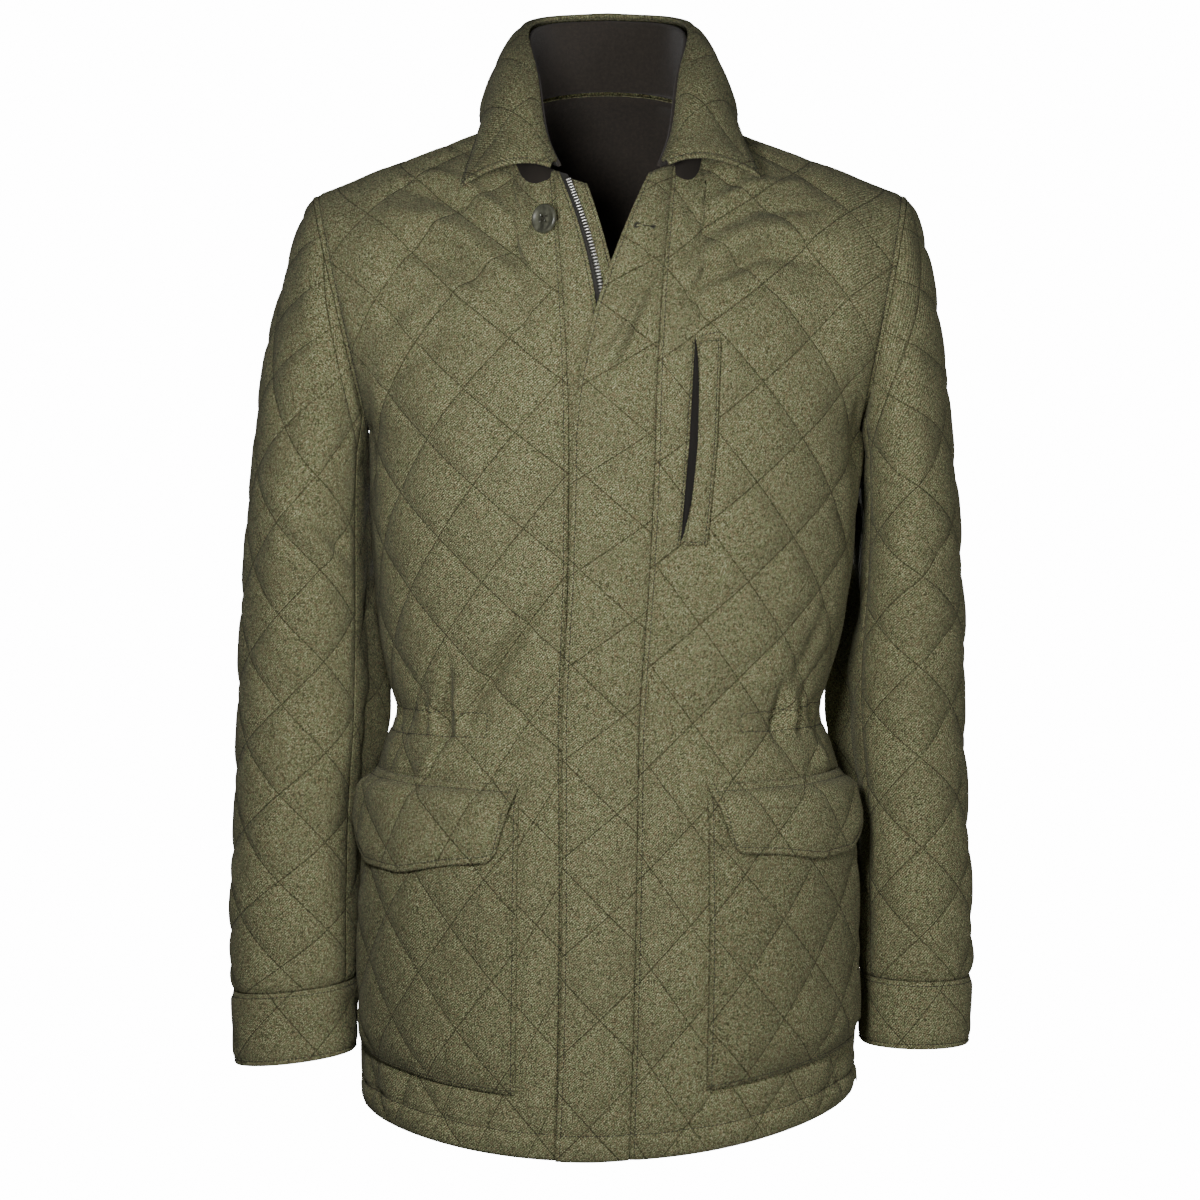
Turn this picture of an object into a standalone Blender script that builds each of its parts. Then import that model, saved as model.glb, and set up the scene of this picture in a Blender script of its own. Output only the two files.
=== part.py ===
"""A hip-length quilted overcoat of wool flannel, as the hollow form that it has when worn.

The front faces -Y and the wearer's left is +X. The origin is at the middle of the neck, level with
the shoulder seams' inner ends. Each cloth piece is a wall between an outer grid of points, where the
quilting stands up, and a plain inner grid with half as many steps each way.
"""

import math

import bmesh
import bpy
import numpy as np
from mathutils import Vector

# ---------------------------------------------------------------- driving sizes, in metres
WALL = 0.0030  # cloth and flattened padding at a stitched line
TAPE = 0.0012  # the zip's tape
PUFF = 0.0032  # how far the middle of a diamond stands up
GAP = 0.0003  # between sewn pieces
FOLD_GAP = 0.0005  # between a piece and what it lies on
PLACKET_CLEARANCE = 0.0012  # between the placket and the front that it laps over

HEM_HEIGHT = -0.729  # at the side seams
HEM_DROP = 0.027  # how much lower the hem is at the centre front
UNDERARM_HEIGHT = -0.215
BODY_ROWS = 28  # steps from the hem to the underarm
YOKE_ROWS = 12  # steps from the underarm to the shoulder
FRONT_COLUMNS = 14  # steps from the placket seam to the side seam
BACK_NECK_COLUMNS = 4  # steps from the centre back to the neck corner
SHOULDER_COLUMNS = 12  # steps along a shoulder seam
STRIP_COLUMNS = 4  # steps across the placket
QUILT_STEPS = 4  # steps in one diamond, each way

SIDE_Y = 0.005  # where the side seams lie, front to back
SQUARENESS = 2.4  # of the body's level sections: 2 is an ellipse, and more is squarer
ARM_REACH = 0.192  # from the middle to where only the arms hang
SHOULDER_TIP = (0.227, 0.002, -0.036)
UNDERARM = (0.188, 0.002, UNDERARM_HEIGHT)
ARMHOLE_HALF_DEPTH = 0.070
NECK_HALF_WIDTH = 0.072
NECK_FRONT = 0.097  # from the neck's middle to its front, in Y
NECK_BACK = 0.075
NECK_MIDDLE_Y = 0.004
NECK_HEIGHTS = {"front": -0.021, "side": 0.024, "back": 0.042}

SLEEVE_COLUMNS = 24
CAP_ROWS = 12  # steps down the sleeve's head
ARM_ROWS = 22  # steps from there to the cuff
CUFF_ROWS = 4
UPPER_SLEEVE = (-8, 10)  # columns from the back seam to the front seam, 0 on the outer side
CAP_FOOT = -0.260  # height where the sleeve's head ends


class Table:
    """Rows of sizes with named columns, read smoothly at any place along the first column."""

    def __init__(self, names, *rows):
        self.names = names.split()
        self.rows = np.array(sorted(rows), dtype=float)

    def at(self, name, place):
        knots = self.rows[:, 0]
        values = self.rows[:, self.names.index(name)]
        slopes = np.gradient(values, knots)
        place = np.clip(place, knots[0], knots[-1])
        k = np.clip(np.searchsorted(knots, place, side="right") - 1, 0, len(knots) - 2)
        step = knots[k + 1] - knots[k]
        t = (place - knots[k]) / step
        start = (1 + 2 * t) * (1 - t) ** 2 * values[k] + t * (1 - t) ** 2 * step * slopes[k]
        end = t * t * (3 - 2 * t) * values[k + 1] + t * t * (t - 1) * step * slopes[k + 1]
        return start + end


# The body's level sections, from the hem to the underarm
BODY = Table(
    "height half_width front back",
    (-0.760, 0.1885, -0.151, 0.147),
    (-0.700, 0.1890, -0.152, 0.148),
    (-0.620, 0.1895, -0.151, 0.146),
    (-0.545, 0.1870, -0.149, 0.139),
    (-0.490, 0.1810, -0.145, 0.126),
    (-0.457, 0.1725, -0.141, 0.115),
    (-0.431, 0.1630, -0.137, 0.108),
    (-0.407, 0.1685, -0.138, 0.108),
    (-0.378, 0.1760, -0.140, 0.110),
    (-0.340, 0.1815, -0.143, 0.114),
    (-0.280, 0.1865, -0.147, 0.120),
    (-0.215, 0.1880, -0.148, 0.125),
)
# How far the figure leans to the wearer's left, by height, and how steeply the rows rise that way
LEAN = Table(
    "height lean tilt",
    (-0.780, 0.000, 0.026),
    (-0.700, 0.0005, 0.024),
    (-0.600, 0.001, 0.008),
    (-0.500, 0.0005, 0.000),
    (-0.436, 0.000, 0.000),
    (-0.310, 0.004, 0.000),
    (-0.200, 0.0045, 0.000),
    (-0.036, 0.0015, 0.000),
    (0.020, 0.000, 0.000),
    (0.120, 0.000, 0.000),
)
# Distances from the centre front, up the front: the placket's free edge and its seam on the left
# front, and on the right front the double seam, the zip's line and the guard's free edge
FRONT_LINES = Table(
    "height placket_edge placket_seam double_seam zip_line guard_edge",
    (-0.760, -0.041, 0.015, 0.036, 0.008, -0.022),
    (-0.650, -0.037, 0.018, 0.035, 0.008, -0.022),
    (-0.530, -0.035, 0.021, 0.034, 0.008, -0.022),
    (-0.380, -0.034, 0.025, 0.034, 0.008, -0.022),
    (-0.215, -0.031, 0.031, 0.034, 0.008, -0.022),
)
TAPE_SHOWN = 0.007  # how far the zip's tape stands out beyond the zip's line
TAPE_COVERED = 0.45  # steps of the underlap that lie over the tape
# The same five lines where they meet the neck seam, and how late they turn towards it
NECK_ENDS = {
    "placket_edge": (0.029, 1.7),
    "placket_seam": (0.050, 1.7),
    "double_seam": (0.043, 1.7),
    "zip_line": (0.0385, 3.0),
    "guard_edge": (0.018, 1.5),
}
# The sleeves' outer and inner lines from the head to the cuff, seen from the front, as distances
# from the middle of the body, with the sleeve's middle and half depth front to back
SLEEVE_RIGHT = Table(
    "height outer inner middle half_depth",
    (-0.760, 0.2860, 0.1960, -0.020, 0.0410),
    (-0.647, 0.2910, 0.1950, -0.014, 0.0440),
    (-0.560, 0.2900, 0.1945, -0.004, 0.0500),
    (-0.490, 0.2870, 0.1920, 0.006, 0.0560),
    (-0.440, 0.2855, 0.1880, 0.010, 0.0590),
    (-0.387, 0.2840, 0.1880, 0.012, 0.0620),
    (-0.330, 0.2835, 0.1898, 0.011, 0.0660),
    (-0.260, 0.2790, 0.1905, 0.007, 0.0720),
    (-0.215, 0.2745, 0.1880, 0.003, 0.0730),
)
SLEEVE_LEFT = Table(
    "height outer inner middle half_depth",
    (-0.760, 0.2760, 0.1950, -0.012, 0.0430),
    (-0.647, 0.2800, 0.1945, -0.006, 0.0460),
    (-0.560, 0.2780, 0.1940, 0.003, 0.0520),
    (-0.490, 0.2760, 0.1930, 0.012, 0.0590),
    (-0.440, 0.2745, 0.1890, 0.016, 0.0620),
    (-0.387, 0.2730, 0.1880, 0.018, 0.0650),
    (-0.330, 0.2690, 0.1900, 0.016, 0.0690),
    (-0.260, 0.2630, 0.1905, 0.010, 0.0740),
    (-0.215, 0.2585, 0.1880, 0.004, 0.0740),
)
# How far the sleeve's inner side reaches in behind the body's side, and the part of the sleeve's turn
# that does so, from its innermost line on towards the back
TUCK = Table(
    "height reach",
    (-0.760, 0.006),
    (-0.647, 0.007),
    (-0.560, 0.010),
    (-0.520, 0.015),
    (-0.490, 0.023),
    (-0.462, 0.030),
    (-0.431, 0.030),
    (-0.402, 0.031),
    (-0.370, 0.024),
    (-0.330, 0.019),
    (-0.294, 0.015),
    (-0.260, 0.0115),
    (-0.235, 0.009),
    (-0.222, 0.006),
    (-0.215, 0.000),
)
TUCK_TURN = (math.radians(178), math.radians(290))
TUCK_FULLNESS = 1.2  # how soon the sleeve reaches in: less is sooner
# The outer line of the sleeve's head, from the shoulder tip down
HEAD_RIGHT = Table(
    "height outer",
    (-0.036, 0.2270),
    (-0.060, 0.2375),
    (-0.088, 0.2465),
    (-0.118, 0.2555),
    (-0.146, 0.2625),
    (-0.178, 0.2685),
    (-0.216, 0.2745),
    (-0.260, 0.2790),
)
HEAD_LEFT = Table(
    "height outer",
    (-0.036, 0.2270),
    (-0.050, 0.2330),
    (-0.075, 0.2400),
    (-0.102, 0.2455),
    (-0.136, 0.2500),
    (-0.172, 0.2540),
    (-0.216, 0.2585),
    (-0.260, 0.2630),
)
# Each cuff's seam and edge: heights on the outer and on the inner side
SLEEVE_ENDS = {
    "left": ((-0.636, -0.634), (-0.688, -0.687)),
    "right": ((-0.647, -0.637), (-0.703, -0.692)),
}
# Half of the collar from its front end round to the centre back: the roll line, the middle of the
# leaf and the leaf's outer edge
COLLAR = Table(
    "station roll_x roll_y roll_z mid_x mid_y mid_z edge_x edge_y edge_z",
    (0.00, 0.038, -0.090, -0.012, 0.074, -0.092, -0.009, 0.1105, -0.074, -0.026),
    (0.18, 0.047, -0.072, 0.012, 0.078, -0.071, 0.010, 0.1030, -0.050, -0.003),
    (0.38, 0.053, -0.042, 0.052, 0.080, -0.040, 0.044, 0.0960, -0.020, 0.016),
    (0.60, 0.060, 0.006, 0.086, 0.083, 0.008, 0.064, 0.0945, 0.016, 0.025),
    (0.80, 0.045, 0.052, 0.096, 0.062, 0.066, 0.072, 0.0730, 0.076, 0.034),
    (1.00, 0.000, 0.073, 0.099, 0.000, 0.095, 0.074, 0.000, 0.106, 0.036),
)
COLLAR_COLUMNS = 24
STAND_ROWS = 4
LEAF_ROWS = 6
STAND_GAP = 0.0018  # above the neck seam
STAND_WALL = 0.0025
LEAF_START = math.radians(32)  # from the centre front round to the collar's front end
OUT_CENTRE_Y = -0.016  # the leaf leans away from the line over this point
# The leaf's bend over the roll line: how far out from it and above it three places lie
ROLL = {"shoulder": (0.0098, 0.0010), "crown": (0.0038, 0.0052), "end": (-0.0020, 0.0046)}
# How far each leaf stands out, and how much higher its tip is
LEAF_SETS = {"left": (1.045, 0.007), "right": (1.03, 0.0)}

# Patch pockets in steps of the front's own grid, from the placket's side and from the hem
POCKETS = {
    "left": {"in": 3, "out": 12, "bottom": 2.5, "top": 13.5},
    "right": {"in": 2, "out": 12, "bottom": 2.5, "top": 13.5},
}
POCKET_DEPTH = 0.005  # how far the pocket's middle stands off the front
FLAP_TOP = 14  # the row that the flap is sewn to
FLAP_ROWS = 4
FLAP_LENGTHS = {  # in steps, from the placket side to the side seam
    "left": (2.65, 2.85, 3.25, 3.2, 2.2),
    "right": (2.95, 3.25, 3.75, 3.7, 2.6),
}
FLAP_SLANT = 0.8  # how many steps the flap's inner corner is cut back
FLAP_LIFT = 0.0110  # how far its lower edge stands off, over a full pocket
FLAP_RISE = 0.7  # steps below its seam where it is fully lifted
WELT = {"bottom": 23.8, "top": 30.95, "bottom_columns": (1.37, 2.35), "top_columns": (1.74, 2.76)}
WELT_STEPS = (16, 2)
WELT_THICKNESS = 0.0028
BUTTON = {"radius": 0.0112, "thickness": 0.0038, "shank": 0.0022, "column": 0.3, "row": 36.4}
# Soft folds on a panel: where the fold starts and ends in rows and columns, its half width in steps
# and its height, which is below zero for a trough
FOLDS = {
    "front_left": (
        (36.5, 10.9, 33.4, 1.3, 0.9, 0.0034),
        (34.6, 9.6, 32.6, 1.2, 0.7, -0.0024),
        (33.0, 8.5, 31.4, 2.4, 0.9, 0.0022),
        (17.8, 7.0, 15.6, 7.0, 0.5, -0.0032),
        (17.4, 7.9, 15.8, 7.9, 0.5, 0.0030),
    ),
    "front_right": (
        (36.0, 2.6, 34.4, 10.8, 0.9, 0.0028),
        (31.4, 4.0, 32.6, 12.2, 1.0, 0.0022),
        (16.6, 9.0, 21.5, 13.0, 0.5, -0.0036),
        (16.4, 11.4, 18.4, 13.4, 0.5, -0.0026),
        (15.8, 7.7, 18.9, 8.3, 0.5, -0.0032),
        (15.8, 8.6, 17.6, 8.8, 0.5, 0.0030),
    ),
    "sleeve_left_upper": (
        (19.0, 2.0, 16.0, 8.0, 0.9, 0.0032),
        (21.0, 3.0, 18.5, 8.0, 0.8, -0.0028),
    ),
    "sleeve_right_upper": (
        (22.4, 13.0, 18.8, 17.6, 0.7, -0.0036),
        (21.2, 13.0, 17.6, 17.6, 0.7, 0.0036),
        (24.6, 13.6, 21.6, 17.4, 0.8, 0.0030),
    ),
}

COLOURS = {  # linear colour, roughness
    "wool": ((0.150, 0.145, 0.082), 0.92),
    "brown": ((0.020, 0.014, 0.010), 0.85),
    "tape": ((0.018, 0.017, 0.014), 0.80),
    "horn": ((0.110, 0.112, 0.080), 0.35),
}


def smooth_step(t):
    t = np.clip(t, 0, 1)
    return t * t * (3 - 2 * t)


# ---------------------------------------------------------------- the body's form
def quarter_section(half_width, depth):
    """Length along, x and y, from the centre of the front or back round to the side seam."""
    turn = np.linspace(0, math.pi / 2, 181)
    x = half_width * np.sin(turn) ** (2 / SQUARENESS)
    y = SIDE_Y + (depth - SIDE_Y) * np.cos(turn) ** (2 / SQUARENESS)
    along = np.concatenate([[0], np.cumsum(np.hypot(np.diff(x), np.diff(y)))])
    return along, x, y


def body_grid(inner, outer, columns, face):
    """Points from the hem to the underarm, on the +x side. inner and outer name lines of
    FRONT_LINES, or are "middle" or "side"."""
    heights = np.linspace(HEM_HEIGHT, UNDERARM_HEIGHT, BODY_ROWS + 1)
    share = np.linspace(0, 1, columns + 1)
    grid = np.empty((len(heights), columns + 1, 3))
    for row, height in enumerate(heights):
        half_width = BODY.at("half_width", height)
        along, x, y = quarter_section(half_width, BODY.at(face, height))
        ends = {"middle": 0.0, "side": along[-1]}
        start, stop = (ends[n] if n in ends else FRONT_LINES.at(n, height) for n in (inner, outer))
        s = start + (stop - start) * share
        grid[row, :, 0] = np.sign(s) * np.interp(abs(s), along, x)
        grid[row, :, 1] = np.interp(abs(s), along, y)
        drop = HEM_DROP * smooth_step((height + 0.45) / (HEM_HEIGHT + 0.45)) * (face == "front")
        grid[row, :, 2] = height - drop * (1 - (grid[row, :, 0] / half_width) ** 2)
    return grid


def neck_point(x, face):
    """The neck seam over the distance x from the centre."""
    depth = NECK_FRONT if face == "front" else -NECK_BACK
    share = np.sqrt(1 - np.minimum(1, (x / NECK_HALF_WIDTH) ** 2))
    side, end = NECK_HEIGHTS["side"], NECK_HEIGHTS[face]
    return np.array([x, NECK_MIDDLE_Y - depth * share, side + (end - side) * share])


def armhole(turn, side_y):
    """The armhole's loop: 0 at the underarm, pi at the shoulder tip. side_y is -1 in front."""
    low, tip = np.array(UNDERARM), np.array(SHOULDER_TIP)
    point = low + (tip - low) * ((1 - np.cos(turn)) / 2)[..., None]
    point[..., 1] += side_y * ARMHOLE_HALF_DEPTH * np.sin(turn)
    return point


def yoke_grid(bottom, top, bends, late, face, to_armhole):
    """Rows above the underarm, from the body's last row to the neck and shoulder seams."""
    w = np.linspace(0, 1, YOKE_ROWS + 1)[:, None]
    turn = bends * w
    rise = np.sin(turn) / np.sin(bends)
    reach = (1 - np.cos(turn)) / (1 - np.cos(bends))
    grid = np.empty((YOKE_ROWS + 1, len(bottom), 3))
    grid[..., 0] = bottom[:, 0] + (top[:, 0] - bottom[:, 0]) * rise**late
    grid[..., 1] = bottom[:, 1] + (top[:, 1] - bottom[:, 1]) * reach
    grid[..., 2] = bottom[:, 2] + (top[:, 2] - bottom[:, 2]) * rise
    if to_armhole:
        share = smooth_step((np.linspace(0, 1, len(bottom)) - 0.35) / 0.65)
        edge = armhole(math.pi * w[:, 0], -1 if face == "front" else 1)
        grid += share[None, :, None] * (edge - grid[:, -1])[:, None, :]
    return grid


def front_panel(seam):
    """One front on the +x side, from its seam line to the side seam and armhole."""
    lower = body_grid(seam, "side", FRONT_COLUMNS, "front")
    lower[-1, -1] = UNDERARM
    neck_x, late = NECK_ENDS[seam]
    neck_columns = FRONT_COLUMNS - SHOULDER_COLUMNS
    neck = [neck_point(x, "front") for x in np.linspace(neck_x, NECK_HALF_WIDTH, neck_columns + 1)]
    top = np.vstack([neck, shoulder_seam()[1:]])
    share = np.linspace(0, 1, FRONT_COLUMNS + 1)
    bends = np.radians(62 + 18 * np.minimum(1, share * 3))
    lates = late + (1 - late) * np.minimum(1, share * 1.5)
    upper = yoke_grid(lower[-1], top, bends, lates, "front", True)
    return np.vstack([lower, upper[1:]])


def shoulder_seam():
    """Points from the neck corner straight to the shoulder tip."""
    corner = neck_point(NECK_HALF_WIDTH, "front")
    share = np.linspace(0, 1, SHOULDER_COLUMNS + 1)[:, None]
    return corner + (np.array(SHOULDER_TIP) - corner) * share


def strip_panel(inner, outer, columns):
    """A strip of the front between two of its lines, from the hem to the neck."""
    lower = body_grid(inner, outer, columns, "front")
    (x0, late0), (x1, late1) = NECK_ENDS[inner], NECK_ENDS[outer]
    top = np.array([neck_point(x, "front") for x in np.linspace(x0, x1, columns + 1)])
    lates = np.linspace(late0, late1, columns + 1)
    bends = np.radians(np.full(columns + 1, 62.0))
    upper = yoke_grid(lower[-1], top, bends, lates, "front", False)
    return np.vstack([lower, upper[1:]])


def back_panel():
    """The whole back, from the left side seam round the back to the right one."""
    columns = BACK_NECK_COLUMNS + SHOULDER_COLUMNS
    lower = body_grid("middle", "side", columns, "back")
    lower[-1, -1] = UNDERARM
    neck = [neck_point(x, "back") for x in np.linspace(0, NECK_HALF_WIDTH, BACK_NECK_COLUMNS + 1)]
    top = np.vstack([neck, shoulder_seam()[1:]])
    bends = np.radians(62 + 18 * np.minimum(1, np.linspace(0, 1, columns + 1) * 3))
    upper = yoke_grid(lower[-1], top, bends, 1.0, "back", True)
    half = np.vstack([lower, upper[1:]])
    return np.hstack([half[:, ::-1], mirrored(half)[:, 1:]])


# ---------------------------------------------------------------- sleeves
def sleeve_ring(outer, inner, middle, half_depth, columns):
    """A ring through an outer and an inner point (x, z), by column from the outer side."""
    turn = 2 * math.pi * np.asarray(columns) / SLEEVE_COLUMNS
    lean = ((1 + np.cos(turn)) / 2)[:, None]
    ring = np.empty((len(turn), 3))
    ring[:, ::2] = np.array(inner) + (np.array(outer) - np.array(inner)) * lean
    ring[:, 1] = middle - half_depth * np.sin(turn)
    start, stop = TUCK_TURN
    behind = np.clip((turn % (2 * math.pi) - start) / (stop - start), 0, 1)
    ring[:, 0] -= TUCK.at("reach", ring[:, 2]) * np.sin(math.pi * behind) ** TUCK_FULLNESS
    return ring


def head_points(head, arm):
    """Outer and inner points down the sleeve's head, evenly spaced along each line."""
    z = np.linspace(SHOULDER_TIP[2], CAP_FOOT, 61)
    x = head.at("outer", z)
    length = np.concatenate([[0], np.cumsum(np.hypot(np.diff(x), np.diff(z)))])
    at = np.linspace(0, length[-1], CAP_ROWS + 1)
    outer = np.column_stack([np.interp(at, length, x), np.interp(at, length, z)])
    drop = np.linspace(0, 1, CAP_ROWS + 1)
    inner_z = UNDERARM_HEIGHT + (CAP_FOOT - UNDERARM_HEIGHT) * drop
    spread = UNDERARM[0] + (arm.at("inner", CAP_FOOT) - UNDERARM[0]) * np.minimum(1, drop * 8)
    return outer, np.column_stack([spread, inner_z]), drop


def sleeve_rings(head, arm, ends, columns):
    """All rings from the armhole to the cuff's edge, on the +x side."""
    outer, inner, drop = head_points(head, arm)
    rings = []
    for k, share in enumerate(drop):
        start_y, end_y = SHOULDER_TIP[1], arm.at("middle", CAP_FOOT)
        depth = ARMHOLE_HALF_DEPTH + (arm.at("half_depth", CAP_FOOT) - ARMHOLE_HALF_DEPTH) * share
        middle = start_y + (end_y - start_y) * share
        rings.append(sleeve_ring(outer[k], inner[k], middle, depth, columns))
    seam, edge = ends
    runs = [((CAP_FOOT, CAP_FOOT), seam, ARM_ROWS), (seam, edge, CUFF_ROWS)]
    for start, stop, steps in runs:
        for share in np.linspace(0, 1, steps + 1)[1:]:
            zo = start[0] + (stop[0] - start[0]) * share
            zi = start[1] + (stop[1] - start[1]) * share
            low = (zo + zi) / 2
            pair = (arm.at("outer", zo), zo), (arm.at("inner", zi), zi)
            rings.append(sleeve_ring(*pair, arm.at("middle", low), arm.at("half_depth", low), columns))
    return np.array(rings)


def sleeve_part(side, first, last, start_ring, stop_ring):
    """Part of a sleeve as a grid with rows going up and columns to the right, seen from outside."""
    head, arm = (HEAD_LEFT, SLEEVE_LEFT) if side == "left" else (HEAD_RIGHT, SLEEVE_RIGHT)
    rings = sleeve_rings(head, arm, SLEEVE_ENDS[side], np.arange(last, first - 1, -1))
    return rings[start_ring : stop_ring + 1][::-1]


# ---------------------------------------------------------------- grids, normals and quilting
def mirrored(grid):
    return grid * np.array([-1, 1, 1])


def normals_of(grid):
    across = np.gradient(grid, axis=1)
    up = np.gradient(grid, axis=0)
    normal = np.cross(across, up)
    return normal / np.linalg.norm(normal, axis=2, keepdims=True)


def quilting(rows, columns, first_row=0, first_column=0, sum_phase=0, difference_phase=0):
    """Height of the diamonds' puff at each step of a grid, from 0 at the lines to 1."""
    j, i = np.mgrid[0:rows, 0:columns]
    i = i + first_column
    j = j + first_row
    a = np.abs(np.sin(math.pi * (i + j - sum_phase) / QUILT_STEPS))
    b = np.abs(np.sin(math.pi * (i - j - difference_phase) / QUILT_STEPS))
    puff = (a * b) ** 0.8
    return np.where(puff < 1e-3, 0.0, puff)


class Panel:
    """A piece of cloth: where its outer face lies at the stitched lines, which way it faces and
    how high the quilting stands on it."""

    def __init__(self, name, grid, puff=None, wall=WALL, closed=False, inner_step=2):
        self.name = name
        self.grid = grid
        self.normals = normals_of(grid)
        self.puff = np.zeros(grid.shape[:2]) if puff is None else puff
        self.wall = wall
        self.closed = closed
        self.inner_step = inner_step
        if closed:
            ring = np.concatenate([grid[:, -2:-1], grid, grid[:, 1:2]], axis=1)
            self.normals = normals_of(ring)[:, 1:-1]

    def at(self, j, i, array=None):
        """The grid, or an array like it, between its steps."""
        array = self.grid if array is None else array
        j0 = np.clip(np.floor(j).astype(int), 0, array.shape[0] - 2)
        i0 = np.clip(np.floor(i).astype(int), 0, array.shape[1] - 2)
        v, u = (j - j0)[..., None], (i - i0)[..., None]
        low = array[j0, i0] * (1 - u) + array[j0, i0 + 1] * u
        high = array[j0 + 1, i0] * (1 - u) + array[j0 + 1, i0 + 1] * u
        return low * (1 - v) + high * v

    def flip(self):
        """The same piece on the other side of the body."""
        self.grid = mirrored(self.grid)[:, ::-1]
        self.normals = mirrored(self.normals)[:, ::-1]
        self.puff = self.puff[:, ::-1]
        return self

    def lean(self):
        """Takes up the wearer's own stance; the arms hang free of the hem's tilt."""
        x, y, z = np.moveaxis(self.grid, 2, 0)
        tilt = LEAN.at("tilt", z) * x * (np.abs(x) < ARM_REACH)
        self.grid = np.stack([x + LEAN.at("lean", z), y, z + tilt], axis=2)
        return self


def border_of(rows, columns):
    """The indices round a grid's border, anticlockwise as seen from outside, each as (row, column)."""
    right = [(0, i) for i in range(columns - 1)]
    up = [(j, columns - 1) for j in range(rows - 1)]
    left = [(rows - 1, i) for i in range(columns - 1, 0, -1)]
    down = [(j, 0) for j in range(rows - 1, 0, -1)]
    return right + up + left + down


def share_seam_normals(panels):
    """Where panels meet, all of them take the mean of their normals."""
    total = {}
    for panel in panels:
        for spot in border_of(*panel.grid.shape[:2]):
            key = tuple(np.round(panel.grid[spot] * 2e4).astype(int))
            total[key] = total.get(key, 0) + panel.normals[spot]
    for panel in panels:
        for spot in border_of(*panel.grid.shape[:2]):
            normal = total[tuple(np.round(panel.grid[spot] * 2e4).astype(int))]
            panel.normals[spot] = normal / np.linalg.norm(normal)


def armhole_frame(side):
    """The way out of an armhole's loop, and its middle."""
    low, tip = np.array(UNDERARM), np.array(SHOULDER_TIP)
    rise = tip - low
    out = np.array([rise[2], 0, -rise[0]]) / np.hypot(rise[0], rise[2])
    return out * (side, 1, 1), (low + tip) / 2 * (side, 1, 1)


def set_armhole(panel, spots, side, away):
    """Turns the normals at an armhole edge to lie in the armhole's plane, and moves the edge."""
    out, middle = armhole_frame(side)
    for spot in spots:
        radial = panel.grid[spot] - middle
        radial = radial - out * np.dot(radial, out)
        panel.normals[spot] = radial / np.linalg.norm(radial)
        panel.grid[spot] = panel.grid[spot] + out * away * GAP / 2


def pull_back(panel, sides):
    """Draws the named borders in by half the gap between sewn pieces."""
    grid = panel.grid
    moves = {
        "left": (grid[:, 1] - grid[:, 0], np.s_[:, 0]),
        "right": (grid[:, -2] - grid[:, -1], np.s_[:, -1]),
        "bottom": (grid[1] - grid[0], np.s_[0]),
        "top": (grid[-2] - grid[-1], np.s_[-1]),
    }
    for side in sides:
        step, place = moves[side]
        length = np.linalg.norm(step, axis=1, keepdims=True)
        grid[place] = grid[place] + step / length * GAP / 2


# ---------------------------------------------------------------- from grids to solids
def triangles(count_j, count_i, heights, first):
    """Two triangles for each cell of a grid, parted along its lower diagonal."""
    faces = []
    for j in range(count_j - 1):
        for i in range(count_i - 1):
            a, b = first + j * count_i + i, first + j * count_i + i + 1
            c, d = a + count_i, b + count_i
            if heights[j, i + 1] + heights[j + 1, i] < heights[j, i] + heights[j + 1, i + 1]:
                faces += [(a, b, c), (b, d, c)]
            else:
                faces += [(a, b, d), (a, d, c)]
    return faces


def rim(outer, inner, step):
    """The strip that joins an outer border to an inner one, which may have half as many steps."""
    faces = []
    for k in range(len(inner) - 1):
        b0, b1 = inner[k : k + 2]
        a = outer[step * k : step * (k + 1) + 1]
        faces += [(a[1], a[0], b0), (a[1], b0, b1)]
        if step == 2:
            faces.append((a[2], a[1], b1))
    return faces


def wall_faces(rows, columns, puff, closed, step):
    """All faces of a wall, as indices into its outer and then its inner points."""
    inner_rows, inner_columns = (rows - 1) // step + 1, (columns - 1) // step + 1
    base = rows * columns
    faces = triangles(rows, columns, puff, 0)
    flat = np.zeros((inner_rows, inner_columns))
    faces += [f[::-1] for f in triangles(inner_rows, inner_columns, flat, base)]
    if closed:
        bottom = [(0, i) for i in range(columns)]
        top = [(rows - 1, i) for i in range(columns - 1, -1, -1)]
        borders = [bottom, top]
    else:
        loop = border_of(rows, columns)
        borders = [loop + loop[:1]]
    for border in borders:
        outer = [j * columns + i for j, i in border]
        inner = [base + j // step * inner_columns + i // step for j, i in border[::step]]
        faces += rim(outer, inner, step)
    return faces


def wall_object(panel, material, collection):
    """Makes a panel's solid."""
    grid, normals, step = panel.grid, panel.normals, panel.inner_step
    rows, columns = grid.shape[:2]
    outer = grid + normals * (panel.puff * PUFF)[..., None]
    inner = (grid - normals * panel.wall)[::step, ::step]
    points = np.vstack([outer.reshape(-1, 3), inner.reshape(-1, 3)])
    mesh = bpy.data.meshes.new(panel.name)
    faces = wall_faces(rows, columns, panel.puff, panel.closed, step)
    mesh.from_pydata(points.tolist(), [], faces)
    if panel.closed:
        weld(mesh)
    mesh.shade_smooth()
    mesh.set_sharp_from_angle(angle=math.radians(50))
    mesh.materials.append(material)
    thing = bpy.data.objects.new(panel.name, mesh)
    collection.objects.link(thing)
    return thing


def weld(mesh):
    """Joins the two ends of a ring of cloth."""
    bm = bmesh.new()
    bm.from_mesh(mesh)
    bmesh.ops.remove_doubles(bm, verts=bm.verts, dist=1e-6)
    bm.to_mesh(mesh)
    bm.free()


def finish(name):
    colour, roughness = COLOURS[name]
    material = bpy.data.materials.new(name)
    material.use_nodes = True
    shader = material.node_tree.nodes["Principled BSDF"]
    shader.inputs["Base Color"].default_value = (*colour, 1)
    shader.inputs["Roughness"].default_value = roughness
    material.diffuse_color = (*colour, 1)
    return material


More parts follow.
